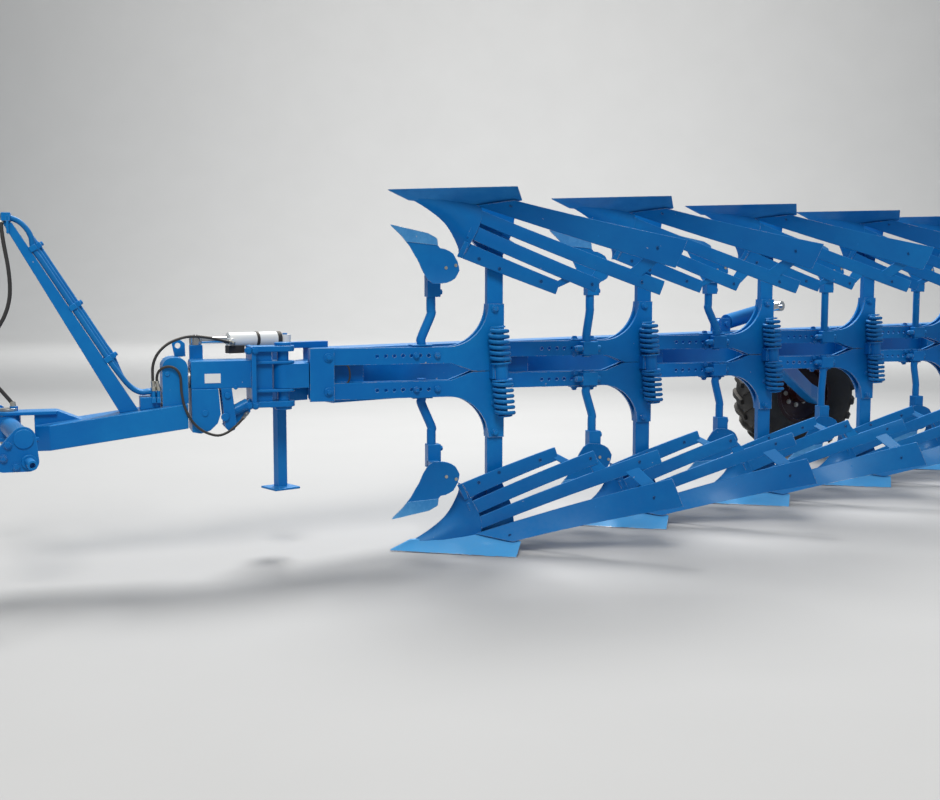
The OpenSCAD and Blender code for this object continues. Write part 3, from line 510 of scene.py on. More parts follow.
def make_materials():
    """Builds the shared groups, then every finish of the plough."""
    paint = bpy.context.scene.plough_paint
    GROUPS["Edge Wear and Highlight"] = build_edge_wear_and_highlight()
    GROUPS["Dust Film"] = build_dust()
    GROUPS["Paint Mottle"] = build_mottle()
    GROUPS["Painted Top Highlight"] = build_top_highlight()
    GROUPS["Fine Scratches"] = build_scratches()
    blue, faded_and_highlight = tuple(paint.blue), tuple(paint.faded_and_highlight_blue)
    M["blue_paint"] = paint_material("Blue paint", blue, faded_and_highlight, paint.wear, paint.dust)
    # The bodies' paint is a darker copy of the blue paint, darkened as painted shade on slats, breasts and
    # skimmer blades
    M["body_paint"] = paint_material(
        "Blue paint on plough bodies, darkened as painted shade", (0.0010, 0.105, 0.355), (0.005, 0.185, 0.480), paint.wear * 1.2,
        paint.dust, 0.36, seed=5.0)
    M["spring_paint"] = paint_material(
        "Blue paint on springs", (0.001, 0.088, 0.310), faded_and_highlight, 0.2, paint.dust, 0.4, radius=0.002, seed=9.0)
    M["hose_paint"] = paint_material(
        "Overpainted hose", (0.0012, 0.090, 0.320), faded_and_highlight, 0.1, paint.dust, 0.5, radius=0.002, seed=13.0,
        under=RUBBER_COLOUR)
    # Shares: a lighter faded blue and a stronger top highlight, as painted sheen on the shares
    M["share_paint"] = paint_material(
        "Blue paint on shares with painted sheen", (0.002, 0.120, 0.390), (0.060, 0.330, 0.650), 0.3, paint.dust, 0.3, seed=7.0,
        bleach=0.85)
    # Flush bolt heads on the slats: painted bolts, darkened as painted shade of the holes they sit in
    M["hole_shade_bolt"] = paint_material(
        "Painted bolt head darkened as hole shade", (0.001, 0.040, 0.150), (0.003, 0.070, 0.230), 0.2, 0.1, 0.45, radius=0.0008,
        seed=11.0)
    # Skimmer points: a much lighter faded blue and the full top highlight, as painted sheen on the point
    # plates
    M["point_paint"] = paint_material(
        "Blue paint on skimmer points with painted sheen", (0.003, 0.140, 0.420), (0.160, 0.440, 0.720), 0.3, 0.0, 0.25,
        seed=31.0, bleach=1.0)
    M["bolt_paint"] = paint_material(
        "Painted bolts and caps", blue, faded_and_highlight, 0.1, paint.dust, 0.35, radius=0.0008, seed=29.0)
    M["cream_paint"] = paint_material(
        "Cream paint", tuple(paint.cream), (0.82, 0.82, 0.80), 0.25, paint.dust, 0.4, seed=17.0)
    # The rim's dark red carries painted shade of the wheel under the plough
    M["rim_paint"] = paint_material(
        "Dark red paint", tuple(paint.rim_red), (0.050, 0.010, 0.009), 0.2, 0.2, 0.45, seed=21.0)
    M["white_plate"] = paint_material(
        "White plate", (0.72, 0.73, 0.74), (0.80, 0.80, 0.80), 0.1, 0.15, 0.35, radius=0.001, seed=23.0)
    M["steel"] = metal_material("Bare steel", STEEL_COLOUR, 0.30, rust=0.35, streak=0.18)
    M["bolt_steel"] = metal_material("Plated bolts", (0.52, 0.50, 0.44), 0.34, rust=0.15, streak=0.1)
    M["chrome"] = metal_material("Chromed rod", (0.80, 0.81, 0.82), 0.07, streak=0.06)
    M["hose"] = rubber_material("Black hose", (0.012, 0.012, 0.013), 0.5, 2.0)
    # Black tyre rubber, made darker still as painted shade of the wheel under the plough
    M["tyre"] = rubber_material("Tyre rubber", (0.006, 0.0055, 0.0055), 0.22)


# Steelwork

BLUE_STEEL = (
    "main_beam", "beam_head", "pivot_pin", "turnover_box", "turnover_drive", "drawbar", "turnover_housing",
    "headstock", "mast", "hose_manifold", "swing_base", "stand_sleeve", "stand_leg", "wheel_bracket",
    "wheel_arm", "wheel_base", "wheel_barrel")
OTHER_STEEL = (
    ("turnover_shaft", "steel", "bare_steel"), ("steering_pin", "steel", "bare_steel"),
    ("swing_rod", "chrome", "rod_chrome"), ("wheel_rod", "chrome", "rod_chrome"),
    ("swing_barrel", "cream_paint", "cream_paint"))


class PLOUGH_OT_steelwork(bpy.types.Operator):
    """Beam, consoles, turnover unit, drawbar and wheel arm as painted steel with rounded edges"""
    bl_idname = "plough.steelwork"
    bl_label = "Steelwork"

    def execute(self, context):
        width = context.scene.plough_pieces.round_edge
        consoles = tuple(f"console_{k}" for k in range(1, PAIRS + 1))
        for node in BLUE_STEEL + consoles:
            rounded_steel(node, M["blue_paint"], width)
        for node, finish, slot in OTHER_STEEL:
            rounded_steel(node, M[finish], width / 2)
        return {"FINISHED"}


# Repeated pieces


class GeometryTree:
    """A geometry node tree that puts one shape on each point of a mesh, along the point's way."""

    def __init__(self, name, **sizes):
        self.tree = bpy.data.node_groups.new(name, "GeometryNodeTree")
        sockets = self.tree.interface
        sockets.new_socket("Geometry", in_out="INPUT", socket_type="NodeSocketGeometry")
        for label, default in sizes.items():
            socket = sockets.new_socket(label, in_out="INPUT", socket_type="NodeSocketFloat")
            socket.default_value = default
        sockets.new_socket("Material", in_out="INPUT", socket_type="NodeSocketMaterial")
        sockets.new_socket("Geometry", in_out="OUTPUT", socket_type="NodeSocketGeometry")
        self.nodes = Nodes(self.tree)
        self.given = self.nodes.add("NodeGroupInput")

    def value(self, label):
        return self.given.outputs[label]

    def finish(self, shape):
        """Puts the shape on the points, turned from Z to each point's way."""
        n = self.nodes
        way = n.add("GeometryNodeInputNamedAttribute", {"data_type": "FLOAT_VECTOR"}, Name="way").outputs[0]
        turn = n.add("FunctionNodeAlignRotationToVector", {"axis": "Z"}, Vector=way).outputs[0]
        points = self.value("Geometry")
        spots = n.add("GeometryNodeInstanceOnPoints", Points=points, Instance=shape, Rotation=turn)
        whole = n.add("GeometryNodeRealizeInstances", Geometry=spots.outputs[0]).outputs[0]
        coloured = n.add("GeometryNodeSetMaterial", Geometry=whole, Material=self.value("Material"))
        n.set(n.add("NodeGroupOutput"), "Geometry", coloured.outputs[0])
        return self.tree


# The washer is half sunk, and the head starts a little under its top
WASHER_DEPTH, HEAD_START = 0.008, 0.003


def build_bolt_tree():
    """A hexagon head, slightly tapered, on its washer, with the round shank's end above it."""
    g = GeometryTree("Bolts on Points", Corners=0.028, Height=0.010, Washer=0.034, Shank=0.016)
    n = g.nodes
    head = n.add("GeometryNodeMeshCone", {"fill_type": "NGON"}, Vertices=6)
    n.set(head, "Radius Bottom", n.math("MULTIPLY", g.value("Corners"), 0.5))
    n.set(head, "Radius Top", n.math("MULTIPLY", g.value("Corners"), 0.46))
    n.set(head, "Depth", g.value("Height"))
    up = n.add("ShaderNodeCombineXYZ", Z=HEAD_START).outputs[0]
    lifted = n.add("GeometryNodeTransform", Geometry=head.outputs[0], Translation=up)
    washer = n.add("GeometryNodeMeshCylinder", {"fill_type": "NGON"}, Vertices=20, Depth=WASHER_DEPTH)
    n.set(washer, "Radius", n.math("MULTIPLY", g.value("Washer"), 0.5))
    shank = n.add("GeometryNodeMeshCylinder", {"fill_type": "NGON"}, Vertices=14)
    n.set(shank, "Radius", n.math("MULTIPLY", g.value("Shank"), 0.5))
    n.set(shank, "Depth", n.math("MULTIPLY", g.value("Height"), 3.0))
    joined = n.add("GeometryNodeJoinGeometry")
    for shape in (lifted, washer, shank):
        g.tree.links.new(shape.outputs[0], joined.inputs[0])
    return g.finish(joined.outputs[0])


def build_coil_tree():
    """A wound spring that starts at the point and runs along its way."""
    g = GeometryTree("Coils on Points", Turns=5.5, Radius=0.041, Length=0.15, Wire=0.018)
    n = g.nodes
    path = n.add("GeometryNodeCurveSpiral", Resolution=28)
    n.set(path, "Rotations", g.value("Turns"))
    n.set(path, "Start Radius", g.value("Radius"))
    n.set(path, "End Radius", g.value("Radius"))
    n.set(path, "Height", g.value("Length"))
    ring = n.add("GeometryNodeCurvePrimitiveCircle", Resolution=12)
    n.set(ring, "Radius", n.math("MULTIPLY", g.value("Wire"), 0.5))
    wire = n.add("GeometryNodeCurveToMesh", Curve=path.outputs[0])
    n.set(wire, "Profile Curve", ring.outputs[0])
    n.set(wire, "Fill Caps", True)
    return g.finish(wire.outputs[0])


FLUSH_DEPTH = 0.0044


def build_flush_tree():
    """The flat round head of a plough bolt, barely proud of the plate."""
    g = GeometryTree("Flush Bolts on Points", Diameter=0.015)
    n = g.nodes
    disc = n.add("GeometryNodeMeshCylinder", {"fill_type": "NGON"}, Vertices=18, Depth=FLUSH_DEPTH)
    n.set(disc, "Radius", n.math("MULTIPLY", g.value("Diameter"), 0.5))
    return g.finish(disc.outputs[0])


TREES = {}


def on_points(name, tree, spots, material, body, slot, **values):
    """Runs a tree on spots of (place, way) and leaves a plain mesh that rides on the body."""
    mesh = bpy.data.meshes.new(name)
    mesh.from_pydata([place for place, way in spots], [], [])
    ways = mesh.attributes.new("way", "FLOAT_VECTOR", "POINT")
    ways.data.foreach_set("vector", [c for place, way in spots for c in way])
    obj = bpy.data.objects.new(name, mesh)
    bpy.context.scene.collection.objects.link(obj)
    modifier = obj.modifiers.new("Repeat", "NODES")
    modifier.node_group = tree
    for item in tree.interface.items_tree:
        if item.in_out == "INPUT" and item.name in values:
            modifier[item.identifier] = values[item.name]
        elif item.in_out == "INPUT" and item.name == "Material":
            modifier[item.identifier] = material
    apply_modifiers(obj)
    obj.data.shade_smooth()
    obj.data.set_sharp_from_angle(angle=math.radians(35))
    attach(obj, body)
    return obj


def hex_bolts(name, spots, body, slot, material="bolt_paint"):
    """Large hexagon bolts of the size in the settings."""
    size = bpy.context.scene.plough_pieces.big_bolt
    on_points(name, TREES["bolt"], spots, M[material], body, slot, Corners=size)


def flush_bolts(name, spots, material):
    """Plough bolts on the beam's bodies, of the size in the settings."""
    size = bpy.context.scene.plough_pieces.flush_bolt
    on_points(name, TREES["flush"], spots, M[material], "beam", "body_paint", Diameter=size)


def facing(matrix, x, y, z):
    """A direction of the matrix's axes, in the frame."""
    return matrix.to_3x3() @ Vector((x, y, z))


def add_rod_at(bm, matrix, start, end, diameter, sides=24, end_diameter=None):
    """A round bar between two points of the matrix's axes."""
    add_rod(bm, matrix @ Vector(start), matrix @ Vector(end), diameter, sides, end_diameter)


def add_box_at(bm, matrix, size, place):
    """A box with its middle at a place of the matrix's axes."""
    add_box(bm, size, matrix @ Matrix.Translation(place))


def place_piece(name, bm, material, body, replaced=(), bevel=0.0, smooth_angle=35.0):
    """A finished piece on its body, which may stand for CAD nodes."""
    obj = finish_mesh(name, bm, M[material], smooth_angle)
    if bevel:
        add_bevel(obj, bevel)
    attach(obj, body)
    if replaced:
        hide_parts(*replaced)
    return obj


# Plough bodies

# Along, across and up from the leg, for the upper body: in millimetres unless a line says metres

# The leg, in metres
LEG_WIDTH, LEG_THICKNESS, LEG_START, LEG_END = 0.076, 0.040, 0.032, 0.640
# The share's corners: tip, wing, wing's rear, fold, heel, and the middle of its cutting edge
SHARE = (
    (-497, 17, 822), (17, -279, 826), (62, -212, 772), (-85, -62, 752), (-401, 10, 777), (-150, -183, 825))
SHARE_THICKNESS, SHARE_WAY = 12.0, Vector((0.3, 1.0, -0.4)).normalized()
# The breast's edge toward the furrow wall, the edge against the slats, and how far it bulges between them
BREAST_EDGE = ((-426, 15, 797), (-320, 12, 740), (-228, 14, 668), (-171, 14, 569), (-170, 14, 520))
BREAST_REAR = ((-84, -54, 762), (-82, -68, 715), (-95, -72, 660), (-130, -68, 590), (-168, -50, 520))
BREAST_BULGE = ((0.0, 2), (0.25, 11), (0.5, 15), (0.75, 13), (1.0, 6))
BREAST_WAY = Vector((0.35, 1, 0)).normalized()
# Each slat's four corners, and how far it is bowed to the far side
SLATS = (
    ((-160, -58, 524), (-128, -68, 592), (268, -150, 410), (252, -140, 352), 14),
    ((-118, -70, 610), (-92, -74, 668), (424, -252, 420), (405, -236, 362), 20),
    ((-86, -72, 684), (-82, -72, 742), (676, -392, 412), (662, -372, 350), 30),
    ((-78, -76, 752), (58, -212, 770), (726, -510, 592), (690, -468, 470), 34),
)
# A slat's thickness, and how far its middle is crowned to the near side
SLAT_THICKNESS, SLAT_CROWN = 9.0, 2.5
# How far a slat's front end runs on behind the breast
SLAT_LAP = Vector((-30, 11, 0))
# Each brace joins two slats: which ones, and where its rear edge meets each, as parts of their lengths
BRACES = ((0, 1, 1.0, 0.86), (1, 2, 1.0, 0.75), (2, 3, 0.88, 0.95))
# A brace's width as a part of a slat's length, and how deep it sits in the slats' backs
BRACE_WIDTH, BRACE_LAP = 0.07, 3
# Flush bolts of each slat, as parts of its length and width
SLAT_BOLTS = (
    ((0.20, 0.35), (0.42, 0.25), (0.83, 0.5)), ((0.96, 0.45),), ((0.90, 0.4),), ((0.07, 0.6), (0.88, 0.5)))
# The frog is the plate that carries share and slats: its outline along and up, and its faces across in metres
FROG = ((-38, 520), (38, 520), (90, 640), (110, 790), (-260, 790), (-190, 700), (-120, 610))
FROG_FACES = (-0.008, 0.020)
# The landside slides along the furrow wall: its size and middle in metres
LANDSIDE_SIZE, LANDSIDE_PLACE = (0.270, 0.014, 0.077), (-0.065, 0.027, 0.7835)
# Round stays from the leg to a slat: start, which slat, the part of its width, how far behind it, thickness
STAYS = (((20, 0, 620), 1, 0.5, 12, 22), ((60, 0, 740), 3, 0.4, 14, 26))
# The part of the slat's length at which a stay ends
STAY_AT = 0.6
# The way across, away from the camera's side
FAR_SIDE = Vector((0, 1, 0))


def slat_point(slat, along, width):
    """A point of a slat's front: part of its length, and of its width from the edge by the beam."""
    a, b, c, d = (Vector(corner) for corner in slat[:4])
    edge = a.lerp(d, along) * (1 - width) + b.lerp(c, along) * width
    bow = slat[4] * 4 * along * (1 - along)
    crown = SLAT_CROWN * (1 - (2 * width - 1) ** 2)
    return edge + Vector((0, bow - crown, 0)) + SLAT_LAP * (1 - along)


def add_grid(bm, rows, thickness, way, matrix):
    """A plate of even thickness through rows of points in millimetres, thickened along way."""
    front = [[bm.verts.new(matrix @ (p * 0.001)) for p in row] for row in rows]
    back = [[bm.verts.new(matrix @ ((p + way * thickness) * 0.001)) for p in row] for row in rows]
    n, k = len(rows), len(rows[0])
    for i in range(n - 1):
        for j in range(k - 1):
            bm.faces.new((front[i][j], front[i][j + 1], front[i + 1][j + 1], front[i + 1][j]))
            bm.faces.new((back[i][j], back[i + 1][j], back[i + 1][j + 1], back[i][j + 1]))
    rim = ([(0, j) for j in range(k)] + [(i, k - 1) for i in range(1, n)]
           + [(n - 1, j) for j in range(k - 2, -1, -1)] + [(i, 0) for i in range(n - 2, 0, -1)])
    for (a, b), (c, d) in zip(rim, rim[1:] + rim[:1]):
        bm.faces.new((front[c][d], front[a][b], back[a][b], back[c][d]))


def both_sides(number):
    """A pair's axes for its upper body, and mirrored for its lower one."""
    upper = travel_matrix(number)
    return upper, upper @ Matrix.Diagonal((1, 1, -1, 1))


def spline_rows(rows, steps):
    """Rows of points smoothed from row to row."""
    columns = [smooth_path([Vector(row[j]) for row in rows], steps) for j in range(len(rows[0]))]
    return [[column[i] for column in columns] for i in range(len(columns[0]))]


def add_slats(bm, matrix):
    """The four slats of one body."""
    for slat in SLATS:
        rows = [[slat_point(slat, i / 24, j / 5) for j in range(6)] for i in range(25)]
        add_grid(bm, rows, SLAT_THICKNESS, FAR_SIDE, matrix)


def add_breast(bm, matrix):
    """The breast, a little before the slats, so that its rear edge shows as a seam."""
    rows = []
    for edge, rear in zip(BREAST_EDGE, BREAST_REAR):
        start, end = Vector(edge), Vector(rear)
        rows.append([start.lerp(end, part) - bulge * FAR_SIDE for part, bulge in BREAST_BULGE])
    add_grid(bm, spline_rows(rows, 5), SLAT_THICKNESS, BREAST_WAY, matrix)


def add_share(bm, matrix):
    """The share: a plate that is folded along its middle."""
    tip, wing, rear, fold, heel, middle = (Vector(p) for p in SHARE)
    rows = [[a.lerp(b, part) for part in (0, 0.33, 0.66, 1)]
            for a, b in ((tip, heel), (middle, fold), (wing, rear))]
    add_grid(bm, spline_rows(rows, 6), SHARE_THICKNESS, SHARE_WAY, matrix)


def add_supports(bm, matrix):
    """Leg, frog, landside, braces and stays of one body."""
    leg_middle = (LEG_START + LEG_END) / 2
    add_box_at(bm, matrix, (LEG_WIDTH, LEG_THICKNESS, LEG_END - LEG_START), (0, 0, leg_middle))
    add_prism(bm, [(x / 1000, z / 1000) for x, z in FROG], FROG_FACES, matrix)
    add_box_at(bm, matrix, LANDSIDE_SIZE, LANDSIDE_PLACE)
    behind = (SLAT_THICKNESS - BRACE_LAP) * FAR_SIDE
    for first, second, at, to in BRACES:
        rows = [[slat_point(SLATS[number], end - BRACE_WIDTH, 0.5) + behind,
                 slat_point(SLATS[number], end, 0.5) + behind] for number, end in ((first, at), (second, to))]
        add_grid(bm, rows, SLAT_THICKNESS, FAR_SIDE, matrix)
    for start, number, across, depth, size in STAYS:
        end = slat_point(SLATS[number], STAY_AT, across) + depth * FAR_SIDE
        add_rod_at(bm, matrix, Vector(start) * 0.001, end * 0.001, size / 1000)


def plough_bolts(matrix):
    """Where the flush bolts of the slats are, and which way they face."""
    spots = []
    for slat, bolts in zip(SLATS, SLAT_BOLTS):
        for along, width in bolts:
            spots.append((matrix @ (slat_point(slat, along, width) * 0.001), facing(matrix, 0, -1, 0)))
    return spots


class PLOUGH_OT_bodies(bpy.types.Operator):
    """Twelve plough bodies: share, breast and four slats on a leg, with flush bolts"""
    bl_idname = "plough.bodies"
    bl_label = "Plough bodies"

    def execute(self, context):
        width = context.scene.plough_pieces.round_edge
        for number in range(1, PAIRS + 1):
            slats, supports, shares, bolts = bmesh.new(), bmesh.new(), bmesh.new(), []
            for matrix in both_sides(number):
                add_slats(slats, matrix)
                add_breast(slats, matrix)
                add_share(shares, matrix)
                add_supports(supports, matrix)
                bolts += plough_bolts(matrix)
            node = f"bodies_{number}"
            place_piece(f"slats_{number}", slats, "body_paint", "beam", (), width * 0.6, 40.0)
            place_piece(f"shares_{number}", shares, "share_paint", "beam", (), width, 40.0)
            place_piece(f"legs_{number}", supports, "blue_paint", "beam", (node,), width)
            flush_bolts(f"flush_bolts_{number}", bolts, "hole_shade_bolt")
        return {"FINISHED"}


# Overload springs

SPRING_ALONG, SPRING_ACROSS, SPRING_START, SPRING_LEAN = 0.009, -0.088, 0.042, math.radians(5)
COIL_OUTER, COIL_WIRE, COIL_LENGTH, COIL_TURNS = 0.100, 0.018, 0.160, 5.5
MOUNT_SIZE, MOUNT_ACROSS = (0.068, 0.053, 0.068), -0.0615
# Round parts on the springs' axis, in metres: from, to, diameter, sides
SPRING_ROUNDS = (
    (-0.195, 0.195, 0.028, 24), (-0.046, 0.046, 0.062, 32), (0.036, 0.043, 0.094, 32),
    (0.201, 0.208, 0.068, 32), (-0.036, -0.043, 0.094, 32), (-0.201, -0.208, 0.068, 32))


class PLOUGH_OT_springs(bpy.types.Operator):
    """Two wound springs per pair on their bracket beside the leg"""
    bl_idname = "plough.springs"
    bl_label = "Overload springs"

    def execute(self, context):
        for number in range(1, PAIRS + 1):
            base = travel_matrix(number)
            foot = base @ Matrix.Translation((SPRING_ALONG, SPRING_ACROSS, 0))
            lean = foot @ Matrix.Rotation(-SPRING_LEAN, 4, "Y")
            coils = []
            for sign in (1, -1):
                start = lean @ Vector((0, 0, sign * (SPRING_START + COIL_WIRE / 2)))
                coils.append((start, facing(lean, 0, 0, sign)))
            coil = on_points(
                f"coils_{number}", TREES["coil"], coils, M["spring_paint"], "beam", "spring_paint",
                Turns=COIL_TURNS, Radius=(COIL_OUTER - COIL_WIRE) / 2, Length=COIL_LENGTH - COIL_WIRE,
                Wire=COIL_WIRE)
            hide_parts(f"springs_{number}")
            bm = bmesh.new()
            add_box_at(bm, base, MOUNT_SIZE, (0, MOUNT_ACROSS, 0))
            for start, end, size, sides in SPRING_ROUNDS:
                add_rod_at(bm, lean, (0, 0, start), (0, 0, end), size, sides)
            place_piece(f"spring_mount_{number}", bm, "blue_paint", "beam", (), 0.002)
        return {"FINISHED"}


# Skimmers

# In metres: how far the stalks stand ahead of the legs, their diameter, and their gap from the rail
STALK_AHEAD, STALK_DIAMETER, STALK_GAP = 0.332, 0.042, 0.001
# Heights that a stalk passes before its crank and after it
STALK_FOOT, STALK_TOP = (0.034, 0.08, 0.13, 0.152), (0.258, 0.28, 0.34, 0.40)
# How far each stalk's end stands behind its foot: upper, lower
STALK_SHIFT = ((0.046, 0.046), (0.016, 0.032), (-0.052, 0.028), (0.0, -0.008), (0.0, 0.018), (0.030, 0.030))
# Blade outline in millimetres, along and from the beam's middle: the cutting edge, then the outer edge
BLADE_FRONT = ((-496, 664), (-448, 615), (-413, 568), (-394, 531), (-378, 503), (-360, 457), (-334, 411))
BLADE_REAR = ((-496, 664), (-413, 644), (-334, 625), (-296, 602), (-292, 560), (-258, 554), (-229, 535),
              (-208, 494), (-203, 457), (-221, 425), (-247, 407), (-282, 401), (-317, 401), (-334, 411))
# The point plate on the blade's tip: its cutting edge, then its outer edge as far as the seam
POINT_FRONT = ((-496, 664), (-448, 615), (-425, 584))
POINT_REAR = ((-496, 664), (-413, 644), (-334, 625), (-296, 602), (-292, 562))
# Thickness, the way that it goes back from the front, and how far the point plate stands before the blade
BLADE_THICKNESS, BLADE_WAY, POINT_PROUD = 9.0, Vector((0.2, 1, -0.1)).normalized(), 3.5
BLADE_HOLES = ((-260, 471), (-218, 482))
# The tip across; then how far the blade winds to the near side as it runs back, and leans as it rises
BLADE_TIP_ACROSS, BLADE_WIND, BLADE_LEAN = -18, 0.33, 0.05
# Its bow: how much for each millimetre squared from the middle, and how much of it draws the blade ahead
BLADE_BOW, BLADE_MIDDLE_UP, BLADE_BOW_AHEAD = 0.0009, 470, 0.31
# Socket on the stalk's end, in metres: size, how far behind the stalk, height
HOLDER_SIZE, HOLDER_BEHIND, HOLDER_UP = (0.062, 0.060, 0.110), 0.008, 0.395
# Arm from the socket to the blade: length along, height, height above the beam's middle, its faces across
ARM_LENGTH, ARM_HEIGHT, ARM_UP, ARM_NEAR, ARM_FAR = 0.046, 0.052, 0.440, -0.088, -0.050
# Plate behind the blade: outline along and up, and its faces across
BLADE_PLATE = ((-0.312, 0.42), (-0.256, 0.42), (-0.250, 0.48), (-0.300, 0.54))
BLADE_PLATE_FACES = (-0.088, -0.052)
HOLDER_SCREW_BEHIND, HOLDER_SCREW_UP = 0.039, 0.362
# Clamps on the rails, in metres: height and how far out from the rail; sizes; how far behind the stalk
CLAMP_UP, CLAMP_OUT = 0.077, 0.027
FIRST_CLAMP_SIZE, CLAMP_SIZE, CLAMP_BEHIND = (0.104, 0.054, 0.062), (0.080, 0.054, 0.066), 0.012
# The clamp's round bar with its tapered end: from, to, diameter, end diameter
CLAMP_BAR = ((-0.392, -0.262, 0.030, None), (-0.392, -0.399, 0.030, 0.024), (-0.399, -0.403, 0.024, 0.010))
CLAMP_BAR_OUT, CLAMP_BAR_UP = 0.036, 0.076
# The flat cap over the rail, its two screws, and one more screw on the rail's near side
CLAMP_CAP_SIZE, CLAMP_CAP_ACROSS, CLAMP_CAP_UP = (0.140, 0.050, 0.007), -0.010, 0.1185
CAP_SCREWS_APART, CAP_SCREW_UP = 0.092, 0.122
CLAMP_SCREW = (-0.386, -CONSOLE_HALF, 0.050)


def blade_point(along, up):
    """The blade's front at a place of its outline, in millimetres."""
    tip_along, tip_up = BLADE_FRONT[0]
    bow = -BLADE_BOW * (up - BLADE_MIDDLE_UP) ** 2
    across = BLADE_TIP_ACROSS - BLADE_WIND * (along - tip_along) + BLADE_LEAN * (up - tip_up) + bow
    return Vector((along + BLADE_BOW_AHEAD * bow, across, up))


def along_line(points, part):
    """A point at a part of a broken line's length."""
    lengths = [math.dist(a, b) for a, b in zip(points, points[1:])]
    left = part * sum(lengths)
    for (a, b), length in zip(zip(points, points[1:]), lengths):
        if left <= length or b is points[-1]:
            t = min(left / length, 1.0)
            return a[0] + (b[0] - a[0]) * t, a[1] + (b[1] - a[1]) * t
        left -= length


class PLOUGH_OT_skimmers(bpy.types.Operator):
    """Skimmers: cranked round stalks in their clamps, with holders and small blades"""
    bl_idname = "plough.skimmers"
    bl_label = "Skimmers"

    def execute(self, context):
        for number in range(1, PAIRS + 1):
            side = 1 if number == 1 else -1
            across = side * (CONSOLE_HALF + STALK_DIAMETER / 2 + STALK_GAP)
            stalks, blades, tips, holders = bmesh.new(), bmesh.new(), bmesh.new(), bmesh.new()
            screws, holes = [], []
            for row, matrix in enumerate(both_sides(number)):
                shift = STALK_SHIFT[number - 1][row]
                line = [Vector((-STALK_AHEAD, across, up)) for up in STALK_FOOT]
                line += [Vector((-STALK_AHEAD + shift, across, up)) for up in STALK_TOP]
                add_tube(stalks, [matrix @ p for p in smooth_path(line, 6)], STALK_DIAMETER, 24)
                moved = matrix @ Matrix.Translation((shift - STALK_SHIFT[0][0], 0, 0))
                add_blade(blades, BLADE_FRONT, BLADE_REAR, 0.0, moved)
                add_blade(tips, POINT_FRONT, POINT_REAR, POINT_PROUD, moved)
                for along, up in BLADE_HOLES:
                    holes.append((moved @ (blade_point(along, up) * 0.001), facing(matrix, 0, -1, 0)))
                add_holder(holders, matrix, across, shift, screws)
                add_clamp(holders, matrix, side, screws)
            body, slot, node = "beam", "body_paint", f"skimmers_{number}"
            place_piece(f"stalks_{number}", stalks, "blue_paint", body, (node,), 0.0, 50.0)
            place_piece(f"blades_{number}", blades, "body_paint", body, (), 0.0015, 40.0)
            place_piece(f"skimmer_points_{number}", tips, "point_paint", body, (), 0.001, 40.0)
            place_piece(f"holders_{number}", holders, "blue_paint", body, (), 0.003)
            hex_bolts(f"set_screws_{number}", screws, body, slot)
            flush_bolts(f"blade_bolts_{number}", holes, "bolt_steel")
        return {"FINISHED"}


def add_blade(bm, front, rear, proud, matrix):
    """A blade between its cutting edge and its outer edge, lifted to the near side by proud millimetres."""
    rows = []
    for i in range(1, 28):
        start, end = Vector(along_line(front, i / 28)), Vector(along_line(rear, i / 28))
        places = [start.lerp(end, j / 8) for j in range(9)]
        rows.append([blade_point(place.x, place.y) - proud * FAR_SIDE for place in places])
    add_grid(bm, rows, BLADE_THICKNESS, BLADE_WAY, matrix)


def add_holder(bm, matrix, across, shift, screws):
    """Socket on the stalk's end with its set screw, the arm and the plate behind the blade."""
    along = -STALK_AHEAD + shift
    add_box_at(bm, matrix, HOLDER_SIZE, (along + HOLDER_BEHIND, across, HOLDER_UP))
    near, far = min(across, ARM_NEAR), max(across, ARM_FAR)
    add_box_at(bm, matrix, (ARM_LENGTH, far - near, ARM_HEIGHT), (along, (near + far) / 2, ARM_UP))
    moved = matrix @ Matrix.Translation((shift - STALK_SHIFT[0][0], 0, 0))
    add_prism(bm, BLADE_PLATE, BLADE_PLATE_FACES, moved)
    spot = matrix @ Vector((along + HOLDER_SCREW_BEHIND, across, HOLDER_SCREW_UP))
    screws.append((spot, facing(matrix, 1, 0, 0)))


def add_clamp(bm, matrix, side, screws):
    """Clamp on the rail: a plain block behind it on the first pair, with a round bar before it on others."""
    middle = side * (CONSOLE_HALF + CLAMP_OUT)
    if side > 0:
        add_box_at(bm, matrix, FIRST_CLAMP_SIZE, (-STALK_AHEAD, middle, CLAMP_UP))
        return
    add_box_at(bm, matrix, CLAMP_SIZE, (-STALK_AHEAD + CLAMP_BEHIND, middle, CLAMP_UP))
    axis = -CONSOLE_HALF - CLAMP_BAR_OUT
    for start, end, size, tip in CLAMP_BAR:
        add_rod_at(bm, matrix, (start, axis, CLAMP_BAR_UP), (end, axis, CLAMP_BAR_UP), size, 24, tip)
    add_box_at(bm, matrix, CLAMP_CAP_SIZE, (-STALK_AHEAD, CLAMP_CAP_ACROSS, CLAMP_CAP_UP))
    for apart in (-CAP_SCREWS_APART / 2, CAP_SCREWS_APART / 2):
        spot = matrix @ Vector((-STALK_AHEAD + apart, CLAMP_CAP_ACROSS, CAP_SCREW_UP))
        screws.append((spot, facing(matrix, 0, 0, 1)))
    screws.append((matrix @ Vector(CLAMP_SCREW), facing(matrix, 0, -1, 0)))


# Wheel

WHEEL_HUB = LEG_1 + Vector((3.780, 1.090, -0.396))
TYRE_RADIUS, TYRE_HALF, RIM_RADIUS = 0.430, 0.180, 0.200
# How far the carcass lies below the lugs' tops in the middle, how much further at its edge, and the shoulder
TREAD_DEPTH, TREAD_FALL, SHOULDER_DROP = 0.024, 0.040, 0.070
# Radius and half width from the shoulder to the bead, and back along the inside
TYRE_SIDE = ((0.330, 0.1795), (0.290, 0.179), (0.255, 0.170), (0.228, 0.150), (0.216, 0.136), (0.201, 0.132))
TYRE_INSIDE = ((0.201, 0.124), (0.260, 0.110), (0.330, 0.140), (0.380, 0.120))
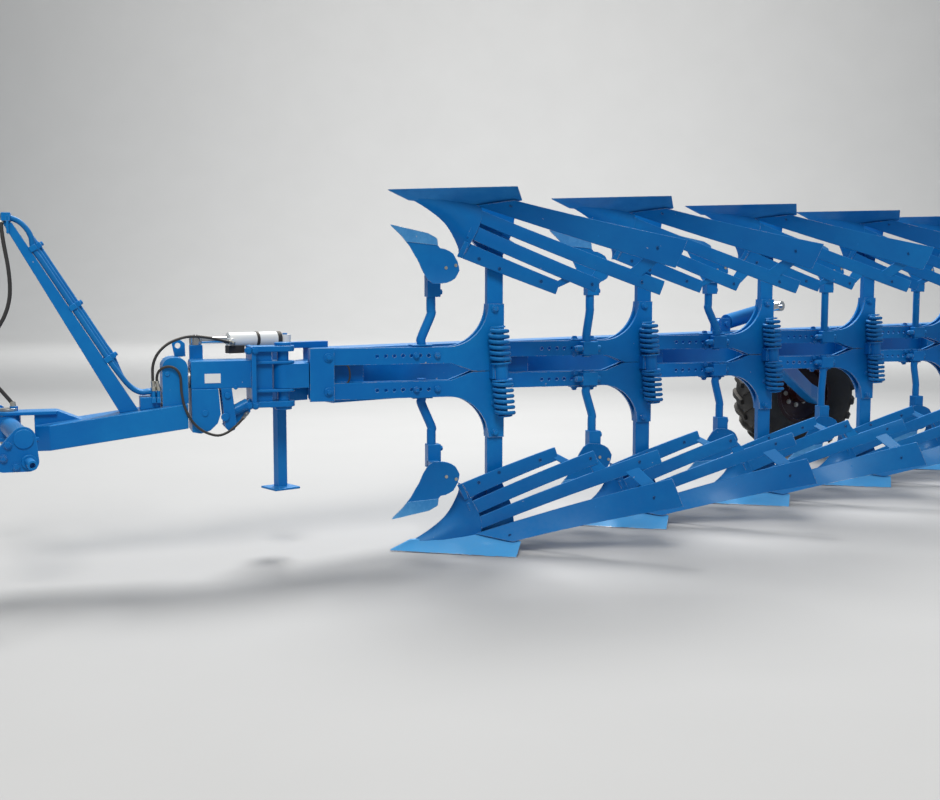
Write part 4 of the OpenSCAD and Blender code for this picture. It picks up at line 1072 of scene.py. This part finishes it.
# The rim's half width; hub and cap as radius and place along the axle, which points to the far side
RIM_HALF = TYRE_HALF - 0.040
HUB = (
    (0.031, 0.010 - RIM_HALF), (0.055, 0.010 - RIM_HALF), (0.060, 0.020 - RIM_HALF), (0.065, -0.030),
    (0.065, 0.010), (0.050, 0.016), (0.048, 0.028), (0.031, 0.030))
HUB_CAP = ((0.001, 0.064), (0.030, 0.062), (0.043, 0.052), (0.047, 0.026), (0.001, 0.026))
STUDS, STUD_CIRCLE, STUD_FACE = 8, 0.085, -0.031
# A lug: where it starts off the middle, how far it sinks in, how its top falls to the shoulder, its slant
LUG_START, LUG_SUNK, LUG_FALL, LUG_SLANT = 0.012, 0.006, 0.045, 0.17
# Half a lug's thickness in metres at its start, and how much is added toward the shoulder
LUG_HALF, LUG_WIDENS = 0.015, 0.006


def add_lathe(bm, profile, matrix, sides=96):
    """A closed profile of (radius, along the axis) turned round the matrix's Z."""
    rings = [[bm.verts.new(matrix @ Vector((r * math.cos(a), r * math.sin(a), z))) for r, z in profile]
             for a in (2 * math.pi * k / sides for k in range(sides))]
    n = len(profile)
    for k in range(sides):
        a, b = rings[k], rings[(k + 1) % sides]
        for j in range(n):
            bm.faces.new((a[j], a[(j + 1) % n], b[(j + 1) % n], b[j]))


def tread_radius(across):
    """Radius of the tyre's carcass under the lugs."""
    return TYRE_RADIUS - TREAD_DEPTH - TREAD_FALL * (abs(across) / TYRE_HALF) ** 4


def mirrored(profile):
    """A profile's other side, so that both together run round."""
    return [(radius, -half) for radius, half in reversed(profile)]


def rim_profile():
    """The rim's bed with its flanges, and the dished disc inside it."""
    r, half = RIM_RADIUS, RIM_HALF
    return [
        (0.045, -0.030), (r - 0.060, -0.030), (r - 0.030, -0.048), (r - 0.010, -0.060), (r - 0.010, -half),
        (r + 0.012, -half), (r + 0.018, -half + 0.003), (r + 0.018, -half + 0.008), (r, -half + 0.008),
        (r - 0.006, -0.04), (r - 0.006, 0.04), (r, half - 0.008), (r + 0.018, half - 0.008),
        (r + 0.018, half - 0.003), (r + 0.012, half), (r - 0.010, half), (r - 0.014, -0.020),
        (r - 0.034, -0.034), (r - 0.062, -0.018), (0.045, -0.018)]


class PLOUGH_OT_wheel(bpy.types.Operator):
    """Depth wheel: lugged tyre, dished rim and wheel bolts"""
    bl_idname = "plough.wheel"
    bl_label = "Wheel"

    def execute(self, context):
        matrix = (Matrix.Translation(WHEEL_HUB) @ Matrix.Rotation(-PLOUGH_ANGLE, 4, "Z")
                  @ Matrix.Rotation(-math.pi / 2, 4, "X"))
        crown = [(tread_radius(z), z) for z in (TYRE_HALF * k / 8 for k in range(-8, 9))]
        shoulder = [(TYRE_RADIUS - SHOULDER_DROP, TYRE_HALF - 0.004)]
        crown = mirrored(shoulder) + crown[1:-1] + shoulder
        side, inside = list(TYRE_SIDE), list(TYRE_INSIDE)
        bm = bmesh.new()
        add_lathe(bm, crown + side + inside + mirrored(inside) + mirrored(side), matrix)
        lugs = context.scene.plough_pieces.tread_lugs
        for k in range(lugs):
            add_lug(bm, matrix, 2 * math.pi * (k + 0.5) / lugs, 1)
            add_lug(bm, matrix, 2 * math.pi * k / lugs, -1)
        place_piece("tyre", bm, "tyre", "wheel", ("wheel_tyre",), 0.0, 38.0)

        bm = bmesh.new()
        add_lathe(bm, rim_profile(), matrix, 72)
        add_lathe(bm, HUB, matrix, 48)
        add_lathe(bm, HUB_CAP, matrix, 48)
        place_piece("rim", bm, "rim_paint", "wheel", ("wheel_rim",), 0.0, 32.0)
        studs = []
        for k in range(STUDS):
            a = 2 * math.pi * k / STUDS
            spot = Vector((STUD_CIRCLE * math.cos(a), STUD_CIRCLE * math.sin(a), STUD_FACE))
            studs.append((matrix @ spot, facing(matrix, 0, 0, -1)))
        hex_bolts("wheel_bolts", studs, "wheel", "rim_paint", "bolt_steel")
        return {"FINISHED"}


def add_lug(bm, matrix, turn, sign):
    """A slanted tread bar from near the middle to the shoulder."""
    rings = []
    for k in range(6):
        part = k / 5
        across = sign * (LUG_START + part * (TYRE_HALF - 0.002 - LUG_START))
        base = tread_radius(across) - LUG_SUNK
        top = TYRE_RADIUS - LUG_FALL * part ** 5
        middle = turn + LUG_SLANT * part * (1.25 - 0.25 * part)
        thick = (LUG_HALF + LUG_WIDENS * part) / TYRE_RADIUS
        ring = []
        for radius, offset in ((base, -1.25 * thick), (top, -thick), (top, thick), (base, 1.25 * thick)):
            a = middle + offset
            ring.append(bm.verts.new(matrix @ Vector((radius * math.cos(a), radius * math.sin(a), across))))
        rings.append(ring)
    for a, b in zip(rings, rings[1:]):
        for j in range(4):
            bm.faces.new((a[j], a[(j + 1) % 4], b[(j + 1) % 4], b[j]))
    bm.faces.new(list(reversed(rings[0])))
    bm.faces.new(rings[-1])


# Hoses

# The mast's rear edge at its foot and its top, in the travel frame
MAST_FOOT = Vector((-1.6025, TURN_ACROSS, -0.129))
MAST_TOP = Vector((-2.0795, TURN_ACROSS, 0.648))
MAST_HOSE, MAST_HOSE_PITCH = 0.0215, 0.024
# How far the three painted hoses stand off the mast's rear edge, in metres: near, middle, far
MAST_HOSE_OFF = (0.013, 0.024, 0.035)
# The hoses' straight run behind the mast, and the clamps on it, as parts of the mast's length
HOSE_RUN_START, HOSE_RUN_STEP, CLAMP_PARTS = 0.27, 0.059, (0.27, 0.55, 0.86)
# The hoses' ends in millimetres: along, up. They leave the mast's edge below and above the clamps
HOSE_FOOT = ((-1560, -54), (-1590, -55), (-1626, -36), (-1664, 8))
HOSE_HEAD = ((-2008, 592), (-2027, 628), (-2056, 656), (-2090, 670))
# Black hoses in millimetres: along, across, up
CYLINDER_HOSE = (
    (-1540, -110, -34), (-1543, -110, 5), (-1540, -108, 64), (-1518, -104, 112), (-1476, -95, 150),
    (-1421, -82, 172), (-1365, -60, 178), (-1300, -36, 170), (-1240, -15, 156), (-1195, 38, 142))
DRIVE_HOSE = (
    (-1520, -110, -34), (-1525, -111, -11), (-1526, -114, 12), (-1519, -119, 34), (-1502, -124, 50),
    (-1479, -128, 56), (-1456, -133, 50), (-1439, -137, 33), (-1431, -140, 10), (-1430, -142, -16),
    (-1429, -143, -44), (-1425, -146, -77), (-1417, -150, -113), (-1397, -152, -161), (-1366, -152, -200),
    (-1329, -150, -226), (-1281, -145, -240), (-1237, -130, -229), (-1201, -112, -205), (-1172, -94, -180),
    (-1152, -72, -160))
SUPPLY_HOSE = (
    (-2112, -66, 672), (-2120, -78, 640), (-2112, -88, 560), (-2100, -90, 480), (-2094, -90, 400),
    (-2099, -90, 335), (-2118, -90, 274), (-2150, -88, 215), (-2182, -80, 150), (-2196, -66, 80),
    (-2180, -52, 15), (-2140, -42, -40), (-2104, -40, -88), (-2098, -40, -110))
# Each black hose with its thickness in metres
BLACK_HOSES = (
    ("cylinder_hose", CYLINDER_HOSE, 0.012), ("drive_hose", DRIVE_HOSE, 0.011),
    ("supply_hose", SUPPLY_HOSE, 0.016))
# Sleeve and nut on a black hose: from and to in metres off its tip, and how many times its thickness
HOSE_SLEEVE, HOSE_NUT = (-0.004, 0.030, 1.45), (-0.012, 0.004, 1.9)
# A clamp on the painted hoses, in metres: plate and block as size and place, and its screw
HOSE_CLAMP_BOXES = (((0.030, 0.040, 0.024), (0.013, -0.022, 0)), ((0.046, 0.042, 0.024), (0.025, 0.016, 0)))
HOSE_CLAMP_SCREW, HOSE_CLAMP_SCREW_DIAMETER = ((0.046, 0.014, 0), (0.058, 0.014, 0)), 0.020
# Fittings in metres. The three painted hoses end in elbows on the manifold: along, up, thickness, sides
ELBOWS = (
    ((-1.566, -0.054), (-1.534, -0.054), 0.023, 6), ((-1.540, -0.080), (-1.540, -0.040), 0.020, 20),
    ((-1.520, -0.080), (-1.520, -0.056), 0.022, 6))
# Two black hoses leave the manifold's near side upward: along, across, the nipple's foot, top and thickness
NIPPLES_ALONG, NIPPLE_ACROSS, NIPPLE_FROM, NIPPLE_TO, NIPPLE = (-1.540, -1.520), -0.110, -0.090, -0.036, 0.016
NIPPLE_FOOT_SIZE, NIPPLE_FOOT_ACROSS, NIPPLE_FOOT_UP = (0.016, 0.030, 0.022), -0.104, -0.086
# The coupling bar at the mast's top and its plate as size, along, up; then the supply hose's parking socket
COUPLING_BAR = (((0.036, 0.096, 0.034), -2.102, 0.672), ((0.010, 0.096, 0.070), -2.096, 0.640))
PARKING_ALONG, PARKING_FROM, PARKING_TO, PARKING = -2.098, -0.124, -0.100, 0.034


def travel_points(rows):
    """A smooth line through places given in millimetres in the travel frame."""
    to_row = travel_matrix()
    return smooth_path([to_row @ (Vector(row) * 0.001) for row in rows], 4)


class PLOUGH_OT_hoses(bpy.types.Operator):
    """Painted hoses on the mast and the black hoses at its top and at the turnover unit"""
    bl_idname = "plough.hoses"
    bl_label = "Hoses"

    def execute(self, context):
        mast_hoses()
        hose_fittings()
        for name, rows, diameter in BLACK_HOSES:
            black_hose(name, rows, diameter)
        return {"FINISHED"}


def black_hose(name, rows, diameter):
    """A free hose between two fittings, with a crimped sleeve and a nut on each end."""
    points = travel_points(rows)
    bm = bmesh.new()
    add_tube(bm, points, diameter, 14)
    hose = place_piece(name, bm, "hose", "drawbar", (), 0.0, 60.0)
    bm = bmesh.new()
    for tip, inner in ((points[0], points[3]), (points[-1], points[-4])):
        way = (inner - tip).normalized()
        for (start, end, thickness), sides in ((HOSE_SLEEVE, 20), (HOSE_NUT, 6)):
            add_rod(bm, tip + way * start, tip + way * end, diameter * thickness, sides)
    ends = place_piece(name + "_ends", bm, "bolt_steel", "drawbar", (), 0.0008)


def mast_hoses():
    """Three hoses in clamps along the mast's rear face, from the manifold to the coupling bar."""
    bm = bmesh.new()
    rise = (MAST_TOP - MAST_FOOT).normalized()
    behind = Vector((rise.z, 0, -rise.x))
    for row, off in zip((-1, 0, 1), MAST_HOSE_OFF):
        parts = [HOSE_RUN_START + HOSE_RUN_STEP * k for k in range(11)]
        run = [1000 * (MAST_FOOT.lerp(MAST_TOP, part) + behind * off) for part in parts]
        centre = list(HOSE_FOOT) + [(point.x, point.z) for point in run] + list(HOSE_HEAD)
        across = 1000 * (TURN_ACROSS + row * MAST_HOSE_PITCH)
        add_tube(bm, travel_points([(along, across, up) for along, up in centre]), MAST_HOSE, 16)
    place_piece("mast_hoses_painted", bm, "hose_paint", "drawbar", ("mast_hoses",), 0.0, 60.0)
    bm = bmesh.new()
    lean = math.atan2(MAST_FOOT.x - MAST_TOP.x, MAST_TOP.z - MAST_FOOT.z)
    for part in CLAMP_PARTS:
        spot = travel_matrix() @ Matrix.Translation(MAST_FOOT.lerp(MAST_TOP, part))
        turned = spot @ Matrix.Rotation(-lean, 4, "Y")
        for size, place in HOSE_CLAMP_BOXES:
            add_box_at(bm, turned, size, place)
        add_rod_at(bm, turned, *HOSE_CLAMP_SCREW, HOSE_CLAMP_SCREW_DIAMETER, 6)
    place_piece("hose_clamps", bm, "blue_paint", "drawbar", (), 0.0025)


def hose_fittings():
    """Elbows on the manifold, the coupling bar at the mast's top and the hose's socket on the fork."""
    to_row = travel_matrix()
    bm = bmesh.new()
    for row in (-1, 0, 1):
        across = TURN_ACROSS + row * MAST_HOSE_PITCH
        for start, end, size, sides in ELBOWS:
            add_rod_at(bm, to_row, (start[0], across, start[1]), (end[0], across, end[1]), size, sides)
    for along in NIPPLES_ALONG:
        add_box_at(bm, to_row, NIPPLE_FOOT_SIZE, (along, NIPPLE_FOOT_ACROSS, NIPPLE_FOOT_UP))
        start, end = (along, NIPPLE_ACROSS, NIPPLE_FROM), (along, NIPPLE_ACROSS, NIPPLE_TO)
        add_rod_at(bm, to_row, start, end, NIPPLE, 6)
    for size, along, up in COUPLING_BAR:
        add_box_at(bm, to_row, size, (along, TURN_ACROSS, up))
    foot = (PARKING_ALONG, TURN_ACROSS, PARKING_FROM)
    add_rod_at(bm, to_row, foot, (PARKING_ALONG, TURN_ACROSS, PARKING_TO), PARKING, 6)
    place_piece("hose_fittings", bm, "blue_paint", "drawbar", (), 0.0015)


# Fastenings and small plates

# Sizes and places in metres. Leg bolts on a console: the capped one, then the plain ones, along and up
LEG_CAP, LEG_CAP_OUT, LEG_CAP_DIAMETER = (-0.008, 0.285), 0.009, 0.034
LEG_BOLTS = ((-0.012, 0.150), (0.012, 0.052))
LEG_BOLT_HEIGHT, LEG_BOLT_WASHER, LEG_BOLT_SHANK = 0.008, 0.027, 0.013
# Caps on the first console's rails: along, up, diameter, how far its cover plate stands out there
FRONT_CAPS = ((-0.382, 0.077, 0.030, 0.0), (-0.283, 0.077, 0.030, 0.0), (-0.786, 0.076, 0.040, 0.018))
FRONT_CAP_OUT = 0.008
FRONT_PLATE_SIZE, FRONT_PLATE_PLACE = (0.094, 0.080, 0.008), (-0.339, 0.045, 0.119)
# Centreline of the black handle in the first console's window: along, up
HANDLE = (
    (-0.765, 0.042), (-0.727, 0.041), (-0.694, 0.035), (-0.685, -0.008), (-0.697, -0.040), (-0.728, -0.045),
    (-0.765, -0.045))
HANDLE_ACROSS, HANDLE_DIAMETER = -0.030, 0.008
# Round caps seen from the near side of the turnover unit: along, across, up, diameter, how far they stand out
TURN_BOLTS = (
    (-1.235, -0.115, -0.073, 0.026, 0.010), (-1.247, -0.115, -0.165, 0.034, 0.012),
    (-1.332, -0.130, -0.145, 0.026, 0.006), (-1.200, -0.115, -0.040, 0.018, 0.005))
TURN_BOLT_SUNK = 0.002
EAR_BOLTS_ALONG, EAR_BOLTS_UP, EAR_FACE = (-1.146, -1.120), (-0.118, 0.118), -0.140
STRUT_START, STRUT_END, STRUT_DIAMETER = (-1.224, -0.078, -0.152), (-1.144, -0.072, -0.113), 0.046
EAR_WEB_SIZE, EAR_WEB_PLACE = (0.096, 0.008, 0.220), (-1.084, -0.062, 0)
BLANK_PLATE_SIZE, BLANK_PLATE_PLACE = (0.067, 0.0016, 0.040), (-1.296, -0.1158, 0.001)
# The holed lug on the turnover housing: outline along and up, its hole, and the cap beside it
LUG = ((-1.3985, 0.090), (-1.400, 0.146), (-1.417, 0.161), (-1.445, 0.159), (-1.455, 0.146), (-1.444, 0.090))
LUG_FACES, LUG_HOLE, LUG_HOLE_DIAMETER = (-0.006, 0.006), (-1.430, 0.137), 0.024
HOUSING_CAP, HOUSING_CAP_DIAMETER = ((-1.484, -0.112, 0.024), (-1.484, -0.121, 0.024)), 0.020
# The headstock, from the steering pin turned as it is parked
HITCH_AHEAD, FORK_UP, STEER_REST = 2.120, -0.181, math.radians(9)
LINK_SPAN, LINK_BACK, LINK_DROP, LINK_PIN_LENGTH = 0.965, 0.017, 0.088, 0.110
# On each end plate: the cross tube's cap and the pin's collar, as diameter and how far they stand out
TUBE_CAP, TUBE_CAP_OUT, PIN_COLLAR, PIN_COLLAR_OUT, LINK_SUNK = 0.074, 0.007, 0.056, 0.014, 0.004
# Its nuts along and up, and the bore in each pin's end
LINK_NUTS = ((-0.058, -0.020), (-0.075, -0.070), (-0.030, -0.105))
PIN_BORE, PIN_BORE_DEPTH = 0.022, 0.030
# The swing cylinder's eyes; along it: bands as place, diameter and width; the port, and the black block below
# the barrel, which stands partly for a dark part there and partly for painted shade under the barrel
SWING_BASE_EYE, SWING_ROD_EYE = Vector((-0.945, 0.150, 0.155)), Vector((-1.352, 0.030, 0.155))
BARREL_RADIUS, BARREL_BANDS = 0.0315, ((0.140, 0.068, 0.014), (0.036, 0.067, 0.020))
PORT_AT, PORT_DIAMETER, PORT_FROM, PORT_TO, PORT_FALL = 0.268, 0.022, 0.020, 0.042, 0.004
BLOCK_AND_SHADE_AT, BLOCK_AND_SHADE_BELOW, BLOCK_AND_SHADE_SIZE = 0.242, 0.042, (0.074, 0.046, 0.034)


class PLOUGH_OT_fastenings(bpy.types.Operator):
    """Bolts on consoles, legs and the turnover unit, the blank plate, lugs and the cylinder's band"""
    bl_idname = "plough.fastenings"
    bl_label = "Fastenings"

    def execute(self, context):
        console_bolts()
        pin_handle()
        turnover_details()
        headstock_details()
        cylinder_details()
        return {"FINISHED"}


def console_bolts():
    """Leg bolts through each console, and the bolts of the first console's front end."""
    for number in range(1, PAIRS + 1):
        caps, nuts = bmesh.new(), []
        for matrix in both_sides(number):
            for side in (-1, 1):
                way = facing(matrix, 0, side, 0)
                foot, tip = side * CONSOLE_HALF, side * (CONSOLE_HALF + LEG_CAP_OUT)
                along, up = LEG_CAP
                add_rod_at(caps, matrix, (along, foot, up), (along, tip, up), LEG_CAP_DIAMETER, 28)
                nuts.append((matrix @ Vector((along, tip, up)), way))
                nuts += [(matrix @ Vector((along, foot, up)), way) for along, up in LEG_BOLTS]
            if number == 1:
                for along, up, size, plate in FRONT_CAPS:
                    foot = -CONSOLE_HALF - plate
                    tip = foot - FRONT_CAP_OUT
                    add_rod_at(caps, matrix, (along, foot, up), (along, tip, up), size, 28)
                    nuts.append((matrix @ Vector((along, tip, up)), facing(matrix, 0, -1, 0)))
                add_box_at(caps, matrix, FRONT_PLATE_SIZE, FRONT_PLATE_PLACE)
        place_piece(f"leg_caps_{number}", caps, "bolt_paint", "beam", (), 0.0015)
        on_points(
            f"leg_bolts_{number}", TREES["bolt"], nuts, M["bolt_paint"], "beam", "blue_paint",
            Corners=bpy.context.scene.plough_pieces.leg_bolt, Height=LEG_BOLT_HEIGHT, Washer=LEG_BOLT_WASHER,
            Shank=LEG_BOLT_SHANK)


def pin_handle():
    """Black handle that stands out from behind the first console's cover plate."""
    bm = bmesh.new()
    line = smooth_path([travel_matrix() @ Vector((along, HANDLE_ACROSS, up)) for along, up in HANDLE], 5)
    add_tube(bm, line, HANDLE_DIAMETER, 12)
    place_piece("pin_handle", bm, "hose", "beam", (), 0.0, 60.0)


def turnover_details():
    """Pins, bolts, the round strut, the web between the ears, the blank plate and the holed lug."""
    to_row = travel_matrix()
    bm, nuts = bmesh.new(), []
    for along, across, up, size, out in TURN_BOLTS:
        add_rod_at(bm, to_row, (along, across + TURN_BOLT_SUNK, up), (along, across - out, up), size, 28)
    for up in EAR_BOLTS_UP:
        for along in EAR_BOLTS_ALONG:
            nuts.append((to_row @ Vector((along, EAR_FACE, up)), facing(to_row, 0, -1, 0)))
    add_rod_at(bm, to_row, STRUT_START, STRUT_END, STRUT_DIAMETER, 32)
    place_piece("turnover_pins", bm, "bolt_paint", "turnover_unit", (), 0.0015)
    bm = bmesh.new()
    add_box_at(bm, to_row, EAR_WEB_SIZE, EAR_WEB_PLACE)
    place_piece("ear_web", bm, "blue_paint", "turnover_unit", (), 0.001)
    hex_bolts("turnover_bolts", nuts, "turnover_unit", "blue_paint")
    bm = bmesh.new()
    add_box_at(bm, to_row, BLANK_PLATE_SIZE, BLANK_PLATE_PLACE)
    place_piece("blank_plate", bm, "white_plate", "turnover_unit", (), 0.0005)
    bm = bmesh.new()
    add_prism(bm, LUG, LUG_FACES, to_row)
    add_rod_at(bm, to_row, *HOUSING_CAP, HOUSING_CAP_DIAMETER, 28)
    lug = place_piece("housing_lug", bm, "blue_paint", "drawbar", (), 0.002)
    along, up = LUG_HOLE
    drill(lug, to_row @ Vector((along, -0.05, up)), to_row @ Vector((along, 0.05, up)), LUG_HOLE_DIAMETER)


def headstock_details():
    """Caps and nuts on the link plates, collars round the link pins and the bores in their ends."""
    pin = travel_matrix() @ Matrix.Translation((-HITCH_AHEAD, TURN_ACROSS, FORK_UP))
    steer = pin @ Matrix.Rotation(STEER_REST, 4, "Z")
    headstock = bpy.data.objects["headstock_steel"]
    bm, nuts = bmesh.new(), []
    for side in (-1, 1):
        face = side * LINK_SPAN / 2
        sunk = face - side * LINK_SUNK
        add_rod_at(bm, steer, (0, sunk, 0), (0, face + side * TUBE_CAP_OUT, 0), TUBE_CAP, 40)
        collar = (LINK_BACK, face + side * PIN_COLLAR_OUT, -LINK_DROP)
        add_rod_at(bm, steer, (LINK_BACK, sunk, -LINK_DROP), collar, PIN_COLLAR, 40)
        nuts += [(steer @ Vector((along, face, up)), facing(steer, 0, side, 0)) for along, up in LINK_NUTS]
        tip = face + side * LINK_PIN_LENGTH
        bottom = steer @ Vector((LINK_BACK, tip - side * PIN_BORE_DEPTH, -LINK_DROP))
        drill(headstock, bottom, steer @ Vector((LINK_BACK, tip + side * 0.010, -LINK_DROP)), PIN_BORE)
    place_piece("link_caps", bm, "bolt_paint", "headstock", (), 0.002)
    hex_bolts("link_nuts", nuts, "headstock", "blue_paint")


def drill(obj, start, end, diameter):
    """Bores a round hole in a piece, from start to end."""
    bm = bmesh.new()
    add_rod(bm, start, end, diameter, 28)
    mesh = bpy.data.meshes.new("drill")
    bm.to_mesh(mesh)
    bm.free()
    cutter = bpy.data.objects.new("drill", mesh)
    bpy.context.scene.collection.objects.link(cutter)
    modifier = obj.modifiers.new("Hole", "BOOLEAN")
    modifier.object = cutter
    modifier.solver = "EXACT"
    apply_modifiers(obj)
    bpy.data.objects.remove(cutter)


def cylinder_details():
    """Bands, port and the black block below the swing cylinder's barrel, which is partly painted shade under
    it.
    """
    to_row = travel_matrix()
    way = (SWING_ROD_EYE - SWING_BASE_EYE).normalized()
    bm = bmesh.new()
    turn = Vector((0, 0, 1)).rotation_difference(way).to_matrix().to_4x4()
    axis = to_row @ Matrix.Translation(SWING_BASE_EYE) @ turn
    for at, size, width in BARREL_BANDS:
        outer, start, end = size / 2, at - width / 2, at + width / 2
        add_lathe(bm, [(BARREL_RADIUS, start), (outer, start), (outer, end), (BARREL_RADIUS, end)], axis, 40)
    place_piece("barrel_bands", bm, "hose", "swing_barrel", (), 0.001)
    bm = bmesh.new()
    side = Vector((way.y, -way.x, 0))
    port = SWING_BASE_EYE + way * PORT_AT
    add_rod_at(bm, to_row, port - side * PORT_FROM, port - side * PORT_TO - Vector((0, 0, PORT_FALL)),
               PORT_DIAMETER, 20)
    place_piece("barrel_port", bm, "cream_paint", "swing_barrel", (), 0.001)
    bm = bmesh.new()
    # The black block stands partly for a dark part below the barrel and partly for painted shade under it
    block_and_shade = Matrix.Translation(SWING_BASE_EYE + way * BLOCK_AND_SHADE_AT - Vector((0, 0, BLOCK_AND_SHADE_BELOW)))
    add_box(bm, BLOCK_AND_SHADE_SIZE, to_row @ block_and_shade @ Matrix.Rotation(math.atan2(way.y, way.x), 4, "Z"))
    place_piece("barrel_block_and_shade", bm, "hose", "swing_barrel", (), 0.002)


# Stage

# The floor runs up into the backdrop behind the plough, seen along the camera's way
FLOOR_FRONT, FLOOR_BEND, FLOOR_BEND_RADIUS, BACKDROP_TOP, FLOOR_HALF = -30.0, 18.0, 8.0, 22.0, 45.0
FLOOR_TURN, FLOOR_DROP = math.radians(50.7), 0.0005
SKY_COLOUR, SKY_STRENGTH = (0.82, 0.91, 1.0), 0.34
# Lamps: place, what they aim at, size, power in watts, colour
LAMPS = (
    ("Key", (-7.5, -7.0, 8.5), (0.0, 0.0, 0.6), (4.0, 4.0), 780.0, (1.0, 0.97, 0.93)),
    ("Fill", (6.0, -9.0, 4.0), (0.8, 0.0, 0.8), (6.0, 6.0), 80.0, (0.90, 0.95, 1.0)),
    ("Top", (2.0, 4.5, 9.0), (0.0, 0.0, 0.5), (4.5, 4.5), 1250.0, (1.0, 1.0, 1.0)),
    ("Backdrop", (7.6, 9.3, 8.5), (16.5, 20.1, 0.5), (22.0, 3.0), 2600.0, (1.0, 1.0, 1.0)))
# The camera's place from leg 1, in metres, and its turn in degrees
CAMERA_PLACE, CAMERA_TURN, CAMERA_LENS = Vector((-3.76, -4.42, 0.42)), (84.5, 0.0, -39.3), 47.99


def make_floor(colour):
    """A pale floor that bends up into the backdrop."""
    material, n, shader = new_material("Pale floor")
    place = n.add("ShaderNodeTexCoord").outputs["Object"]
    lighter = [c + 0.03 for c in colour]
    n.set(shader, "Base Color", n.mix(n.noise(place, 1.2, 4.0), rgb(colour), rgb(lighter)))
    shader.inputs["Roughness"].default_value = 0.85
    profile = [(FLOOR_FRONT, 0.0)]
    for degrees in range(0, 91, 6):
        a = math.radians(degrees)
        profile.append((FLOOR_BEND + FLOOR_BEND_RADIUS * math.sin(a), FLOOR_BEND_RADIUS * (1 - math.cos(a))))
    profile.append((FLOOR_BEND + FLOOR_BEND_RADIUS, BACKDROP_TOP))
    turn = Matrix.Rotation(FLOOR_TURN, 4, "Z")
    bm = bmesh.new()
    near, far = ([bm.verts.new(turn @ Vector((x, y, z - FLOOR_DROP))) for x, z in profile]
                 for y in (-FLOOR_HALF, FLOOR_HALF))
    for k in range(len(profile) - 1):
        bm.faces.new((near[k], near[k + 1], far[k + 1], far[k]))
    finish_mesh("Floor", bm, material, 60.0)


def add_lamp(scene, name, place, aim, size, power, colour):
    """A soft oval lamp that looks at a point."""
    lamp = bpy.data.lights.new(name, "AREA")
    lamp.shape = "ELLIPSE"
    lamp.size, lamp.size_y = size
    lamp.energy = power
    lamp.color = colour
    obj = bpy.data.objects.new(name, lamp)
    obj.location = place
    obj.rotation_euler = (Vector(aim) - Vector(place)).to_track_quat("-Z", "Y").to_euler()
    scene.collection.objects.link(obj)


class PLOUGH_OT_stage(bpy.types.Operator):
    """Pale floor and backdrop, soft lamps and the camera"""
    bl_idname = "plough.stage"
    bl_label = "Stage"

    def execute(self, context):
        scene = context.scene
        make_floor(tuple(scene.plough_paint.floor))
        world = bpy.data.worlds.new("Studio")
        world.use_nodes = True
        sky = world.node_tree.nodes["Background"]
        sky.inputs["Color"].default_value = rgb(SKY_COLOUR)
        sky.inputs["Strength"].default_value = SKY_STRENGTH
        scene.world = world
        for lamp in LAMPS:
            add_lamp(scene, *lamp)
        camera = bpy.data.objects.new("Camera", bpy.data.cameras.new("Camera"))
        camera.data.sensor_width = 36.0
        camera.data.lens = CAMERA_LENS
        camera.location = LEG_1 + CAMERA_PLACE
        camera.rotation_euler = [math.radians(degrees) for degrees in CAMERA_TURN]
        scene.collection.objects.link(camera)
        scene.camera = camera
        scene.view_settings.view_transform = "Standard"
        return {"FINISHED"}


# Panel and run


class PLOUGH_PT_panel(bpy.types.Panel):
    """Lists the plough's pieces"""
    bl_idname = "PLOUGH_PT_panel"
    bl_label = "Plough"
    bl_space_type = "VIEW_3D"
    bl_region_type = "UI"
    bl_category = "Plough"

    def draw(self, context):
        for operator in OPERATORS:
            self.layout.operator(operator.bl_idname)
        for settings in (context.scene.plough_paint, context.scene.plough_pieces):
            for key in type(settings).__annotations__:
                self.layout.prop(settings, key)


OPERATORS = (
    PLOUGH_OT_steelwork, PLOUGH_OT_bodies, PLOUGH_OT_springs, PLOUGH_OT_skimmers, PLOUGH_OT_wheel,
    PLOUGH_OT_hoses, PLOUGH_OT_fastenings, PLOUGH_OT_stage)


def register():
    """Adds the settings, the operators and the panel to Blender."""
    bpy.utils.register_class(PaintSettings)
    bpy.utils.register_class(PieceSettings)
    bpy.types.Scene.plough_paint = bpy.props.PointerProperty(type=PaintSettings)
    bpy.types.Scene.plough_pieces = bpy.props.PointerProperty(type=PieceSettings)
    for operator in OPERATORS:
        bpy.utils.register_class(operator)
    bpy.utils.register_class(PLOUGH_PT_panel)


def unregister():
    """Takes away what register added."""
    bpy.utils.unregister_class(PLOUGH_PT_panel)
    for operator in reversed(OPERATORS):
        bpy.utils.unregister_class(operator)
    del bpy.types.Scene.plough_pieces
    del bpy.types.Scene.plough_paint
    bpy.utils.unregister_class(PieceSettings)
    bpy.utils.unregister_class(PaintSettings)


def main():
    """Builds the finishes and node trees and runs every operator."""
    register()
    make_materials()
    TREES["bolt"] = build_bolt_tree()
    TREES["flush"] = build_flush_tree()
    TREES["coil"] = build_coil_tree()
    bpy.ops.plough.steelwork()
    bpy.ops.plough.bodies()
    bpy.ops.plough.springs()
    bpy.ops.plough.skimmers()
    bpy.ops.plough.wheel()
    bpy.ops.plough.hoses()
    bpy.ops.plough.fastenings()
    bpy.ops.plough.stage()


if __name__ == "__main__":
    main()
